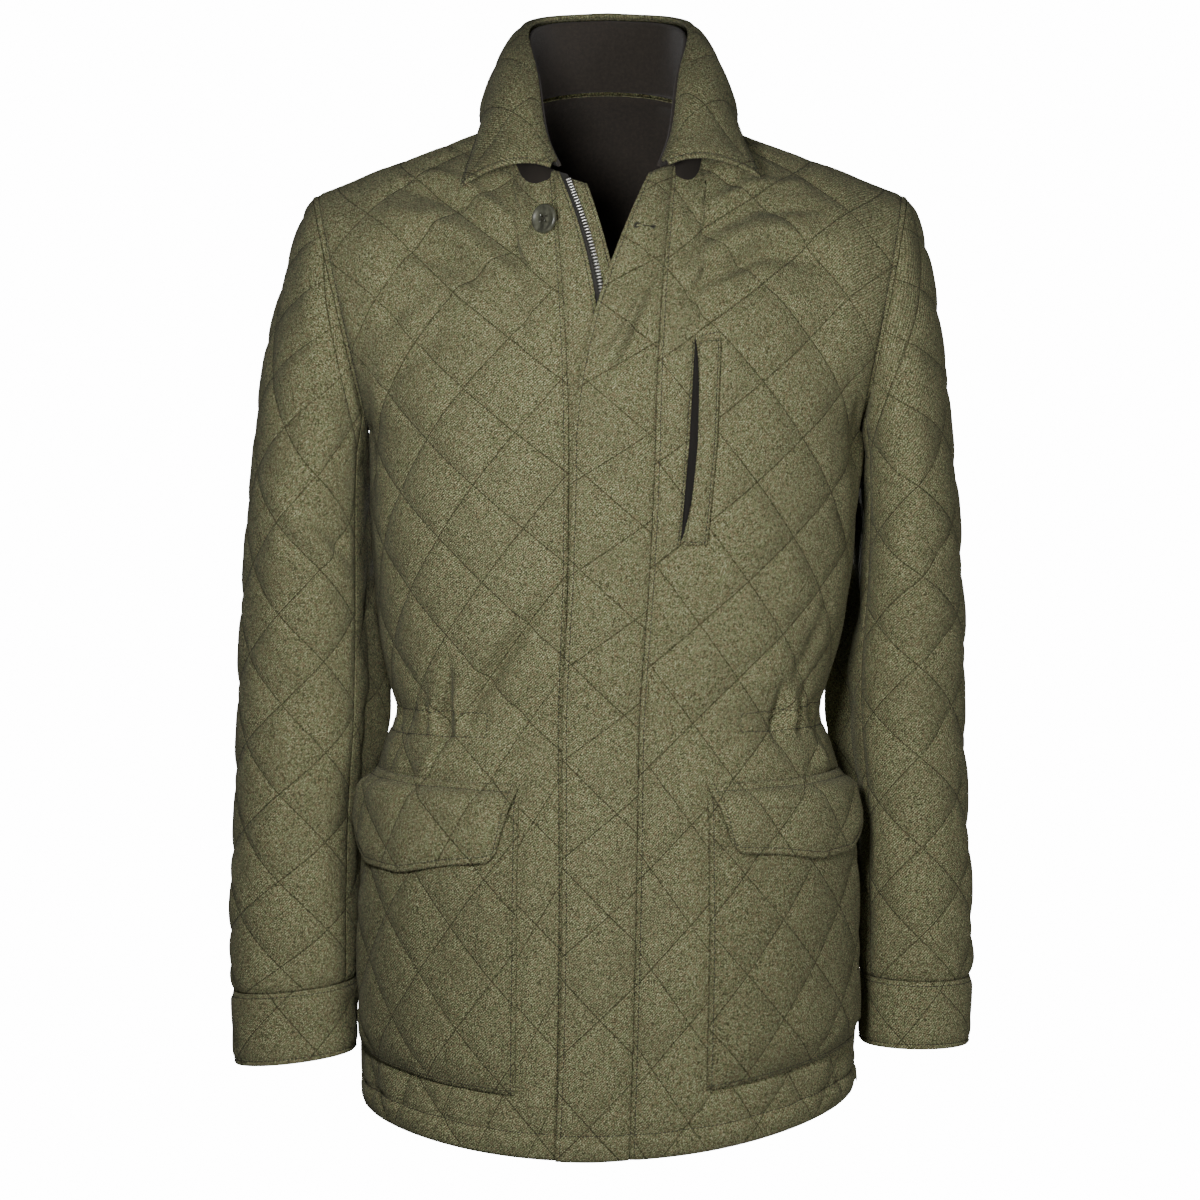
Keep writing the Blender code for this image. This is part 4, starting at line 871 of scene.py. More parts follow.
class Value:
    """A number that changes over a surface, held as a shader socket."""

    def __init__(self, finish, socket):
        self.finish, self.socket = finish, socket

    __add__, __radd__ = _operator("ADD"), _operator("ADD", True)
    __sub__, __rsub__ = _operator("SUBTRACT"), _operator("SUBTRACT", True)
    __mul__, __rmul__ = _operator("MULTIPLY"), _operator("MULTIPLY", True)

    def __abs__(self):
        return self.finish.node("ShaderNodeMath", {"operation": "ABSOLUTE"}, {0: self})


class Finish:
    """One material, with a single way to add nodes."""

    def __init__(self, name, colour, roughness, **plain):
        self.material = bpy.data.materials.new(name)
        self.material.use_nodes = True
        self.tree = self.material.node_tree
        self.shader = self.tree.nodes["Principled BSDF"]
        self.shader.inputs["Base Color"].default_value = (*colour, 1)
        self.shader.inputs["Roughness"].default_value = roughness
        for socket, value in plain.items():
            self.shader.inputs[socket.replace("_", " ")].default_value = value

    def node(self, kind, settings=None, values=None, output=0):
        made = self.tree.nodes.new(kind)
        for key, setting in (settings or {}).items():
            if key == "stops":
                while len(made.color_ramp.elements) < len(setting):
                    made.color_ramp.elements.new(0.5)
                for element, (place, colour) in zip(made.color_ramp.elements, setting):
                    element.position, element.color = place, (*colour, 1)
            else:
                setattr(made, key, setting)
        for place, value in (values or {}).items():
            self.feed(made.inputs[place], value)
        return Value(self, made.outputs[output])

    def feed(self, socket, value):
        if isinstance(value, Value):
            self.tree.links.new(value.socket, socket)
        else:
            socket.default_value = value

    def surface(self, name, value):
        self.feed(self.shader.inputs[name], value)

    def layer(self, name):
        """The across and up values of one of the cloth's own maps."""
        uv = self.node("ShaderNodeUVMap", {"uv_map": name})
        split = self.node("ShaderNodeSeparateXYZ", None, {0: uv})
        return split, Value(self, split.socket.node.outputs[1])

    def place(self):
        return self.node("ShaderNodeTexCoord", output=3)

    def shifted(self, by):
        return self.node("ShaderNodeMapping", None, {0: self.place(), 1: (by, by / 2, -by)})

    def noise(self, scale, detail=2.0, roughness=0.5, where=None):
        values = {"Vector": where or self.place(), "Scale": scale, "Detail": detail}
        return self.node("ShaderNodeTexNoise", None, {**values, "Roughness": roughness})

    def wave(self, value):
        return self.node("ShaderNodeMath", {"operation": "SINE"}, {0: value})

    def ease(self, value, low, high):
        """0 below low and 1 above high, smoothly."""
        settings = {"interpolation_type": "SMOOTHSTEP"}
        return self.node("ShaderNodeMapRange", settings, {0: value, 1: low, 2: high})

    def mix(self, share, first, second):
        made = self.tree.nodes.new("ShaderNodeMix")
        made.data_type = "RGBA"
        for index, value in ((0, share), (6, first), (7, second)):
            if isinstance(value, tuple):
                value = (*value, 1)
            self.feed(made.inputs[index], value)
        return Value(self, made.outputs[2])

    def bump(self, height, distance, strength=1.0):
        made = {"Height": height, "Distance": distance, "Strength": strength}
        self.surface("Normal", self.node("ShaderNodeBump", None, made))


def wool_finish(name, shade=1.0):
    """Mélange flannel: mixed fibres, a fine twill and a dark thread along the quilting lines,
    painted darker than the thread as shade in the stitch grooves.
    """

    # A shade below 1 darkens every colour: a copy of the same wool in painted shade
    def tint(*colour):
        return tuple(c * shade for c in colour)

    wool = Finish(name, tint(0.150, 0.147, 0.082), 0.95, Sheen_Weight=0.04, Sheen_Roughness=0.5)
    wool.shader.inputs["Specular IOR Level"].default_value = 0.08
    u, v = wool.layer("cloth")
    fleck = wool.noise(430.0, 2.0, 0.6)
    tuft = wool.noise(1150.0, 1.0, 0.6)
    speck = wool.noise(980.0, 1.0, 0.6, wool.shifted(0.37))
    cloud = wool.noise(30.0, 3.0, 0.55)
    drift = wool.noise(240.0, 1.0)
    rib = wool.wave((u - v) * (2 * math.pi / TWILL) + drift * 1.1)
    green, brown = tint(0.160, 0.176, 0.082), tint(0.212, 0.170, 0.092)
    base = wool.mix(wool.ease(fleck, 0.44, 0.58), green, brown)
    base = wool.mix(wool.ease(tuft, 0.47, 0.66) * 0.90, base, tint(0.460, 0.475, 0.275))
    base = wool.mix(wool.ease(speck, 0.47, 0.62) * 0.88, base, tint(0.034, 0.034, 0.018))
    base = wool.mix(wool.ease(rib, -0.4, 0.9) * 0.54, base, tint(0.050, 0.050, 0.026))
    base = wool.mix(wool.ease(cloud, 0.42, 0.66) * 0.22, base, tint(0.105, 0.098, 0.055))
    thread = quilting_thread_and_groove_shade(wool)
    # The quilting lines are darker than the thread itself: the thread plus painted shade in the
    # stitch grooves
    base = wool.mix(thread * 0.66, base, (0.018, 0.016, 0.008))
    wool.surface("Base Color", base)
    wool.bump(tuft * 0.7 + fleck * 0.5 - rib * 0.2 - thread * 0.9, 0.0009, 0.6)
    return wool.material


def quilting_thread_and_groove_shade(wool):
    """1 on the quilting's stitches, in dashes along both families of lines: the thread and the
    painted shade in its groove.
    """
    a, b = wool.layer("quilt")
    rows = []
    for number, other in ((a, b), (b, a)):
        nearest = wool.node("ShaderNodeMath", {"operation": "PINGPONG"}, {0: abs(number), 1: 0.5})
        line = 1 - wool.ease(nearest, 0.004, 0.014)
        dash = wool.wave(other * (2 * math.pi * DIAMOND / THREAD_STEP))
        rows.append(line * (0.62 + 0.38 * wool.ease(dash, -0.75, -0.35)))
    return wool.node("ShaderNodeMath", {"operation": "MAXIMUM"}, {0: rows[0], 1: rows[1]})


def woven_finish(name, colour, pale, pitch, roughness):
    """A plain close cloth: two crossing sets of threads."""
    cloth = Finish(name, colour, roughness, Sheen_Weight=0.1)
    u, v = cloth.layer("cloth")
    across = cloth.wave(u * (2 * math.pi / pitch))
    up = cloth.wave(v * (2 * math.pi / pitch))
    weave = across * up
    grain = cloth.noise(420.0, 3.0, 0.6)
    tone = cloth.ease(weave * 0.35 + grain, 0.25, 0.95)
    cloth.surface("Base Color", cloth.mix(tone, colour, pale))
    cloth.bump(weave * 0.5 + grain * 0.5, 0.0003, 0.6)
    return cloth.material


def thread_finish():
    thread = Finish("thread", (0.045, 0.043, 0.026), 0.75)
    twist = thread.noise(2400.0, 1.0)
    thread.surface("Base Color", thread.mix(twist, (0.018, 0.017, 0.010), (0.046, 0.043, 0.026)))
    return thread.material


def metal_finish():
    metal = Finish("zip_metal", (0.45, 0.44, 0.41), 0.40, Metallic=1.0)
    wear = metal.noise(900.0, 2.0)
    metal.surface("Base Color", metal.mix(wear, (0.42, 0.41, 0.38), (0.74, 0.73, 0.69)))
    metal.surface("Roughness", 0.30 + 0.22 * wear)
    return metal.material


def horn_finish():
    horn = Finish("horn", (0.11, 0.112, 0.08), 0.34, Coat_Weight=0.3, Coat_Roughness=0.22)
    where = horn.node("ShaderNodeMapping", None, {0: horn.place(), 3: (1.0, 1.0, 0.35)})
    streak = horn.noise(210.0, 4.0, 0.62, where)
    stops = [
        (0.30, (0.022, 0.022, 0.015)),
        (0.50, (0.062, 0.064, 0.044)),
        (0.66, (0.125, 0.125, 0.090)),
        (0.80, (0.210, 0.200, 0.150)),
    ]
    horn.surface("Base Color", horn.node("ShaderNodeValToRGB", {"stops": stops}, {0: streak}))
    horn.bump(streak, 0.0002, 0.3)
    return horn.material


def plain_finish(name, colour, roughness, grain):
    plain = Finish(name, colour, roughness)
    pale = tuple(c * (1 + grain) for c in colour)
    plain.surface("Base Color", plain.mix(plain.noise(60.0, 2.0), colour, pale))
    return plain.material


# ---------------------------------------------------------------- cutting the pieces
def covered(panel, patch, margin=0.45):
    """1 where a patch lies on a panel, so that the padding is flat beneath it."""
    rows, columns = panel.grid.shape[:2]
    j, i = np.mgrid[0:rows, 0:columns] / FINE
    across = np.minimum(i - patch["in"], patch["out"] - i)
    up = np.minimum(j - patch["bottom"], patch["top"] - j)
    return smooth_step((np.minimum(across, up) + margin) / margin)


def under_arm(panel, near_side):
    """1 where the sleeve hangs against the body."""
    rows, columns = panel.grid.shape[:2]
    j, i = np.mgrid[0:rows, 0:columns] / FINE
    share = i / (columns - 1) * FINE
    return 0.85 * smooth_step((near_side(share) - 0.70) / 0.2) * smooth_step(j - 12)


def level_lengths(panel):
    """Lengths up the cloth, level across the chest, where the rows run down to the armhole."""
    row = BODY_ROWS * FINE
    z = panel.grid[..., 2]
    middle = MIDDLE_COLUMN * FINE
    level = np.interp(z, z[:, middle], panel.up[:, middle])
    return np.where(np.arange(len(z))[:, None] < row, panel.up, panel.up[row] + level - level[row])


def front_cloth(side):
    seam = "placket_seam" if side == "left" else "double_seam"
    panel = Panel(f"front_{side}", front_form(seam))
    panel.number_lines(panel.name, shift=np.abs(panel.grid[:, :1, 0]), up=level_lengths(panel))
    mask = 1 - under_arm(panel, lambda share: share)
    mask = mask * (1 - covered(panel, dict(POCKETS[side], top=FLAP_TOP)))
    if side == "left":
        low, high = WELT["bottom_columns"], WELT["top_columns"]
        mask = mask * (1 - covered(panel, dict(WELT, **{"in": low[0], "out": high[1]}), 0.3))
    panel.pad(mask=mask)
    if side == "right":
        panel.flip()
    return panel


def back_cloth():
    panel = Panel("back", back_form())
    panel.number_lines("back", shift=-panel.across[:, -1:] / 2)
    panel.pad(mask=1 - under_arm(panel, lambda share: np.abs(2 * share - 1)))
    return panel


def sleeve_cloth(side):
    first, last = UPPER_SLEEVE
    rings = CAP_ROWS + ARM_ROWS
    upper = Panel(f"sleeve_{side}_upper", sleeve_form(side, first, last, 0, rings))
    under = Panel(f"sleeve_{side}_under", sleeve_form(side, last, first + SLEEVE_COLUMNS, 0, rings))
    band = sleeve_form(side, 0, SLEEVE_COLUMNS, rings, rings + CUFF_ROWS)
    cuff = Panel(f"cuff_{side}", band, closed=True)
    upper.number_lines(f"sleeve_{side}")
    under.number_lines(f"sleeve_{side}", shift=0.02)
    cuff.number_lines("cuff")
    upper.pad()
    under.pad(height=PADDING * 0.4)
    cuff.pad(height=PADDING * 0.45, mask=smooth_step(cuff.edges()["bottom"] / 0.014))
    parts = [upper, under, cuff]
    return parts if side == "left" else [part.flip() for part in parts]


def strips():
    placket = Panel("placket_left", strip_form("placket_edge", "placket_seam", STRIP_COLUMNS))
    placket.number_lines("placket_left", shift=placket.grid[:, :1, 0])
    placket.pad(height=PADDING * 0.75)
    line = strip_form("zip_line", "double_seam", 2)
    underlap = Panel("underlap_right", mirrored(line)[:, ::-1])
    guard = strip_form("guard_edge", "zip_line", 2)
    line_normals, guard_normals = normals_of(line), normals_of(guard)
    inner = line[:, :1] + (line[:, FINE : FINE + 1] - line[:, :1]) * 0.45
    towards = unit(guard[:, :1] - guard[:, -1:])
    share = fine(2)[None, ::2, None]
    tape_grid = (line[:, :1] + towards * 0.007) * (1 - share) + inner * share
    tape_normals = np.repeat(line_normals[:, :1], tape_grid.shape[1], axis=1)
    guard_grid = guard + (inner - guard[:, -1:]) * fine(2)[None, :, None] ** 2
    tape = Panel("zip_tape", mirrored(tape_grid)[:, ::-1], wall=TAPE)
    tape.normals = mirrored(tape_normals)[:, ::-1]
    behind = Panel("zip_guard", mirrored(guard_grid)[:, ::-1])
    behind.normals = mirrored(guard_normals)[:, ::-1]
    tape.grid = tape.grid - tape.normals * (WALL + FOLD_GAP)
    behind.grid = behind.grid - behind.normals * (WALL + TAPE + 3 * FOLD_GAP)
    return placket, underlap, tape, behind


def leaf_form(lines, out, up):
    """Rows of the leaf from its outer edge up over the roll."""
    edge, mid, roll = lines["edge"], lines["mid"], lines["roll"]
    shoulder = roll + out * 0.0098 + up * 0.0010
    crown = roll + out * 0.0038 + up * 0.0052
    end = roll - out * 0.0020 + up * 0.0046
    rows = []
    for t in fine(4):
        a = edge * (1 - t) + mid * t
        b = mid * (1 - t) + shoulder * t
        swell = a * (1 - t) + b * t
        rows.append(swell + (mid - (edge + shoulder) / 2) * 2 * t * (1 - t))
    over = 2 * crown - (shoulder + end) / 2
    for t in fine(2)[1:]:
        rows.append(shoulder * (1 - t) ** 2 + over * 2 * t * (1 - t) + end * t * t)
    return np.array(rows)


def set_leaf(leaf, side):
    flare, rise = LEAF_SETS[side]
    near_front = (1 - np.linspace(0, 1, leaf.shape[1])) ** 3
    rise = rise * near_front * np.linspace(1, 0, len(leaf))[:, None]
    return np.stack([leaf[..., 0] * flare, leaf[..., 1], leaf[..., 2] + rise], axis=2)


def both_sides(left, right):
    return np.hstack([left, mirrored(right)[:, -2::-1]])


def collar_cloth():
    stations = fine(COLLAR_COLUMNS // 2)
    lines = {
        line: np.column_stack([COLLAR.at(f"{line}_{axis}", stations) for axis in "xyz"])
        for line in ("roll", "mid", "edge")
    }
    turn = COLLAR_START + stations * (math.pi - COLLAR_START)
    foot_x = NECK_HALF_WIDTH * np.sin(turn)
    faces = np.where(turn < math.pi / 2, "front", "back")
    foot = np.array([neck_line(x, face) for x, face in zip(foot_x, faces)])
    up = np.array([0, 0, 1.0])
    roll = lines["roll"]
    share = fine(STAND_ROWS)[:, None, None]
    stand = (foot + up * STAND_GAP) * (1 - share) + roll * share
    out = unit(roll - roll * (0, 0, 1) - (0, NECK_MIDDLE_Y - 0.02, 0))
    leaf = leaf_form(lines, out, up)
    leaf = both_sides(set_leaf(leaf, "left"), set_leaf(leaf, "right"))
    return Panel("collar_stand", both_sides(stand, stand), STAND_WALL), Panel("collar_leaf", leaf)


def patch_places(side, steps_up, steps_across):
    """How far up and across each point of a patch is, and its pocket's own column."""
    patch = POCKETS[side]
    v, u = np.mgrid[0 : steps_up * FINE + 1, 0 : steps_across * FINE + 1] / FINE
    v, u = v / steps_up, u / steps_across
    return v, u, patch["in"] + (patch["out"] - patch["in"]) * u


def laid_on(front, side, j, i):
    """Points and normals of a front, with the columns counted from the placket."""
    i = i if side == "left" else FRONT_COLUMNS - i[:, ::-1]
    j = j if side == "left" else j[:, ::-1]
    cloth = abs(front.at(j, i, front.across)) + seam_distance(front, j)
    return front.at(j, i), unit(front.at(j, i, front.normals)), cloth, front.at(j, i, front.up)


def seam_distance(front, j):
    """How far the front's seam lies from the centre at these rows."""
    column = 0 if front.name.endswith("left") else front.grid.shape[1] - 1
    line = np.abs(front.grid[:, column, 0])
    return np.interp(j * FINE, np.arange(len(line)), line)


def pocket_cloth(side, front):
    """A pocket that follows the front's own points, moved out, and closes down on three sides."""
    patch = POCKETS[side]
    v, u, i = patch_places(side, 11, patch["out"] - patch["in"])
    j = patch["bottom"] + (patch["top"] - patch["bottom"]) * v
    if side == "right":
        u = u[:, ::-1]
    base, normals, across, up = laid_on(front, side, j, i)
    inside = np.minimum(smooth_step(u * 8), smooth_step((1 - u) * 8)) * smooth_step(v * 8)
    lift = POCKET_DEPTH * inside * (1 - 0.8 * smooth_step((v - 0.85) / 0.15))
    panel = Panel(f"pocket_{side}", base + normals * (FOLD_GAP + WALL + lift)[..., None])
    panel.normals = unit(normals + 0.6 * (panel.normals - normals))
    panel.number_lines(f"pocket_{side}", across=across, up=up)
    panel.pad(height=PADDING * 0.85)
    return panel


def flap_cloth(side, front):
    """A flap sewn along its top edge, lying over the pocket with a low point near the side."""
    patch = POCKETS[side]
    v, u, i = patch_places(side, FLAP_ROWS, patch["out"] - patch["in"])
    lengths = FLAP_LENGTHS[side]
    length = np.interp(u, np.linspace(0, 1, len(lengths)), lengths)
    corner = np.maximum(0, 1 - u / 0.05) ** 2 + np.maximum(0, (u - 0.95) / 0.05) ** 2
    length = length - 0.35 * corner
    i = i + FLAP_SLANT * (1 - v) * (1 - u)
    j = FLAP_TOP - length * (1 - v)
    raised = FOLD_GAP + WALL + FLAP_LIFT * smooth_step((FLAP_TOP - j) / 0.9)
    if side == "right":
        raised = raised[:, ::-1]
    base, normals, across, up = laid_on(front, side, j, i)
    panel = Panel(f"flap_{side}", base + normals * raised[..., None])
    panel.normals = np.where((v == 1)[..., None], normals, panel.normals)
    panel.number_lines(f"front_{side}", across=across, up=up)
    panel.pad(height=PADDING * 0.8)
    return panel


def welt_cloth(front):
    """The strip over the chest pocket's slit, sewn on its outer side and open on its inner one."""
    v, u = np.mgrid[0 : WELT_STEPS[0] * FINE + 1, 0 : WELT_STEPS[1] * FINE + 1] / FINE
    v, u = v / WELT_STEPS[0], u / WELT_STEPS[1]
    low, high = WELT["bottom_columns"], WELT["top_columns"]
    gape = 0.16 * np.sin(math.pi * np.clip(v, 0, 1)) ** 0.6 * (1 - u)
    i = (low[0] + (low[1] - low[0]) * u) * (1 - v) + (high[0] + (high[1] - high[0]) * u) * v
    j = WELT["bottom"] + (WELT["top"] - WELT["bottom"]) * v
    base, normals = front.at(j, i + gape), unit(front.at(j, i, front.normals))
    lift = FOLD_GAP + WELT_THICKNESS + 0.0022 * np.sin(math.pi * v) * (1 - u)
    panel = Panel("chest_welt", base + normals * lift[..., None], wall=WELT_THICKNESS)
    panel.normals = normals
    return panel


def welt_edge(j):
    """The column of the chest pocket's slit at each row."""
    v = (j - WELT["bottom"]) / (WELT["top"] - WELT["bottom"])
    return WELT["bottom_columns"][0] * (1 - v) + WELT["top_columns"][0] * v


def mouth_width(j):
    """How many steps wide the chest pocket's open mouth is at each row."""
    foot, head, wide = POCKET_MOUTH
    return wide * np.sin(math.pi * np.clip((j - foot) / (head - foot), 0, 1)) ** 0.75


def open_mouth(front):
    """Sinks the cloth between the chest pocket's lip and its welt."""
    rows, columns = front.grid.shape[:2]
    j, i = np.mgrid[0:rows, 0:columns] / FINE
    width = mouth_width(j)
    middle = welt_edge(j) + MOUTH_SHIFT + width / 2
    away = np.abs(i - middle) / np.maximum(width / 2, 1e-3)
    front.lift = front.lift - MOUTH_DEPTH * smooth_step(1.35 - away) * (width > 0.02)


def pocket_mouth_painted_shadow(front, finishes):
    """A dark sheet inside the chest pocket's mouth: painted shadow in the open slit."""
    foot, head, _ = POCKET_MOUTH
    j = np.linspace(foot, head, 60)
    start = welt_edge(j) + MOUTH_SHIFT
    share = np.linspace(0, 1, 7)[None, :]
    i = start[:, None] + mouth_width(j)[:, None] * share
    rise = 0.0008 + 0.0006 * (2 * share - 1) ** 2 + 0 * i
    points, _ = front.surface(np.repeat(j[:, None], 7, axis=1), i, rise)
    heap = Heap()
    heap.add(points.reshape(-1, 3), cells(*i.shape, np.zeros(i.shape), 0))
    return heap.object("chest_pocket_inside", [finishes["shadow"]])


def stand_and_painted_shade(front, finishes):
    """The brown stand where it shows under the front end of the collar's leaf, drawn darker than
    the stand's own brown: painted shade in the gap under the leaf.
    """
    columns = (front.grid.shape[1] - 1) / FINE
    share = np.linspace(0, 1, 33)[:, None]
    down = np.linspace(0, 1, 7)[None, :]
    i = (STAND_PAINTED_SHADE["start"] + (STAND_PAINTED_SHADE["stop"] - STAND_PAINTED_SHADE["start"]) * share) + 0 * down
    j = BODY_ROWS + YOKE_ROWS - STAND_PAINTED_SHADE["depth"] * np.sin(math.pi * share) ** 0.45 * (1 - down)
    if front.name.endswith("right"):
        i = columns - i
    points, _ = front.surface(j, i, 0.0011 - 0.0008 * (2 * down - 1) ** 4 + 0 * i)
    faces = cells(*i.shape, np.zeros(i.shape), 0)
    if front.name.endswith("left"):
        faces = faces[:, ::-1]
    heap = Heap()
    heap.add(points.reshape(-1, 3), faces)
    return heap.object(f"stand_shown_{front.name[6:]}", [finishes["stand"]])


# ---------------------------------------------------------------- small hard pieces
def button_object(front, finishes):
    """A four-hole horn button with a raised rim, tilted a little on its thread."""
    place = np.array([BUTTON["row"]]), np.array([FRONT_COLUMNS - BUTTON["column"]])
    point, normal = front.at(*place)[0], unit(front.at(*place, front.normals))[0]
    point = leant(point + normal * (BUTTON["shank"] + BUTTON_STANDS))
    normal = np.array(BUTTON_FACING)
    radius, thickness = BUTTON["radius"], BUTTON["thickness"]
    profile = (
        (0.0, 0.0),
        (0.80, 0.0),
        (0.93, 0.10),
        (1.0, 0.42),
        (0.985, 0.75),
        (0.93, 0.96),
        (0.86, 1.0),
        (0.79, 0.93),
        (0.70, 0.72),
        (0.55, 0.62),
        (0.0, 0.60),
    )
    turns = 64
    points = [(0, 0, 0)]
    for share, height in profile[1:-1]:
        for k in range(turns):
            angle = 2 * math.pi * k / turns
            x, y = (radius * share * part(angle) for part in (math.cos, math.sin))
            points.append((x, y, thickness * height))
    points.append((0, 0, thickness * profile[-1][1]))
    faces = []
    rings = len(profile) - 2
    for k in range(turns):
        n = (k + 1) % turns
        faces.append((0, 1 + n, 1 + k))
        for r in range(rings - 1):
            a, b = 1 + r * turns + k, 1 + r * turns + n
            faces += [(a, b, b + turns), (a, b + turns, a + turns)]
        last = 1 + (rings - 1) * turns
        faces.append((last + k, last + n, len(points) - 1))
    button = mesh_object("button_horn", points, faces, [finishes["horn"]])
    cutter = Heap()
    for x, y in ((1, 1), (1, -1), (-1, 1), (-1, -1)):
        centre = HOLE["reach"] * x, HOLE["reach"] * y
        line = np.array([(*centre, -0.002), (*centre, 0.006)])
        cutter.add(*tube(line, HOLE["radius"], HOLE["sides"]))
    drill = cutter.object("drill", [finishes["horn"]], lean=False)
    cut = button.modifiers.new("holes", "BOOLEAN")
    cut.object, cut.operation, cut.solver = drill, "DIFFERENCE", "EXACT"
    bpy.context.view_layer.update()
    drilled = button.evaluated_get(bpy.context.evaluated_depsgraph_get())
    mesh = bpy.data.meshes.new_from_object(drilled)
    button.modifiers.clear()
    button.data = mesh
    bpy.data.objects.remove(drill)
    turn = Vector(normal).to_track_quat("Z", "Y").to_matrix().to_4x4()
    turn.translation = Vector(point)
    mesh.transform(turn)
    thread = Heap()
    for start, end in (((1, 1), (-1, -1)), ((1, -1), (-1, 1))):
        steps = np.linspace(-1, 1, 9)
        mid = (np.array(start) - np.array(end)) / 2 * HOLE["reach"]
        line = np.array([(mid[0] * t, mid[1] * t, 0.0026 + 0.0010 * (1 - t * t)) for t in steps])
        for shift in (-0.00025, 0.00025):
            moved = line + np.array([shift, -shift * np.sign(mid[0] * mid[1]), 0])
            thread.add(*tube(moved, 0.00022))
    foot = -BUTTON["shank"] - BUTTON_STANDS
    shank = np.array([(0.0, 0.0, z) for z in np.linspace(foot, 0.0006, 4)])
    thread.add(*tube(shank, 0.0013, 10))
    sewn = thread.object("button_thread", [finishes["thread"]], lean=False)
    sewn.data.transform(turn)
    return button, sewn


def tube(line, radius, sides=6):
    """A round thread along a line, closed at its ends."""
    way = unit(np.gradient(line, axis=0))
    guide = np.where(np.abs(way[:, 2:3]) > 0.9, [[1.0, 0, 0]], [[0, 0, 1.0]])
    side = unit(np.cross(way, guide))
    other = np.cross(way, side)
    angle = np.linspace(0, 2 * math.pi, sides, endpoint=False)
    ring = side[:, None] * np.cos(angle)[:, None] + other[:, None] * np.sin(angle)[:, None]
    points = (line[:, None] + ring * radius).reshape(-1, 3)
    return points, skin(len(line), sides)


def zip_teeth(tape, finishes):
    """One row of metal teeth along the tape's free edge."""
    rows = tape.grid.shape[0]
    j = np.linspace(0.3, (rows - 1) / FINE - 0.35, rows)
    last = (tape.grid.shape[1] - 1) / FINE
    edge, normals = tape.surface(j, np.full(rows, last * 0.90))
    inner, _ = tape.surface(j, np.full(rows, last * 0.40))
    at, length, place, way = along_path(edge, TOOTH["pitch"])
    normal = unit(between(at, length, normals))
    into = between(at, length, inner - edge)
    side = unit(into - way * np.sum(into * way, axis=1, keepdims=True))
    up = unit(np.cross(way, side))
    normal = up * np.sign(np.sum(up * normal, axis=1))[:, None]
    outline = ((-0.5, 0.30), (-0.5, 0.85), (-0.36, 1.0), (0.2, 1.0), (0.42, 0.72), (0.5, 0.5))
    heap = Heap()
    for k in range(len(place)):
        ring = []
        for level, shrink in ((0.0, 1.0), (0.72, 1.0), (1.0, 0.72)):
            for run, spread in [*outline, *((r, -s) for r, s in outline[::-1])]:
                ring.append(
                    place[k]
                    + side[k] * run * TOOTH["width"] * (1 - 0.12 * (level > 0.9))
                    + way[k] * spread * shrink * TOOTH["height"] / 2
                    + normal[k] * level * TOOTH["thickness"]
                )
        heap.add(ring, outward(ring, skin(3, 2 * len(outline))))
    return heap.object("zip_teeth", [finishes["metal"]])


def outward(points, faces):
    """Turns a closed convex piece's faces to point away from its middle."""
    points, faces = np.asarray(points, float), np.asarray(faces)
    a, b, c = (points[faces[:, k]] for k in range(3))
    facing = np.sum(np.cross(b - a, c - a) * ((a + b + c) / 3 - points.mean(0)), axis=1)
    return np.where(facing[:, None] < 0, faces[:, ::-1], faces)


def buttonhole(placket, finishes):
    """A keyhole worked round with close stitches, and a dark sheet over its slit: painted shadow.
    """
    eye, tail = np.array([36.55, 1.05]), np.array([36.30, 2.75])
    along = tail - eye
    angles = np.radians(np.linspace(40, 320, 14))
    side = np.array([-along[1], along[0]]) / np.hypot(*along)
    ahead = along / np.hypot(*along)
    head = [eye + 0.13 * (ahead * math.cos(t) + side * math.sin(t)) for t in angles]
    loop = np.array([tail + side * 0.05, *head, tail - side * 0.05, tail + side * 0.05])
    points, normals = placket.surface(loop[:, 0], loop[:, 1], 0.0001)
    middle, _ = placket.surface(*((eye + tail) / 2)[:, None], 0.0001)
    painted_shadow_points = np.vstack([middle, points[:-1]])
    count = len(painted_shadow_points) - 1
    slit = [(0, 1 + k, 1 + (k + 1) % count) for k in range(count)]
    worked = Heap()
    at, length, place, way = along_path(points, 0.0007)
    normal = unit(between(at, length, normals))
    across = unit(np.cross(way, normal))
    worked.add(*bars(place + normal * 0.0002, across, way, normal, 0.0019, 0.00062))
    # A dark sheet over the slit, painted shadow
    hole = Heap()
    hole.add(painted_shadow_points + unit(normals[:1]) * 0.00015, slit)
    return (
        worked.object("buttonhole_thread", [finishes["thread"]]),
        hole.object("buttonhole_slit", [finishes["shadow"]]),
    )


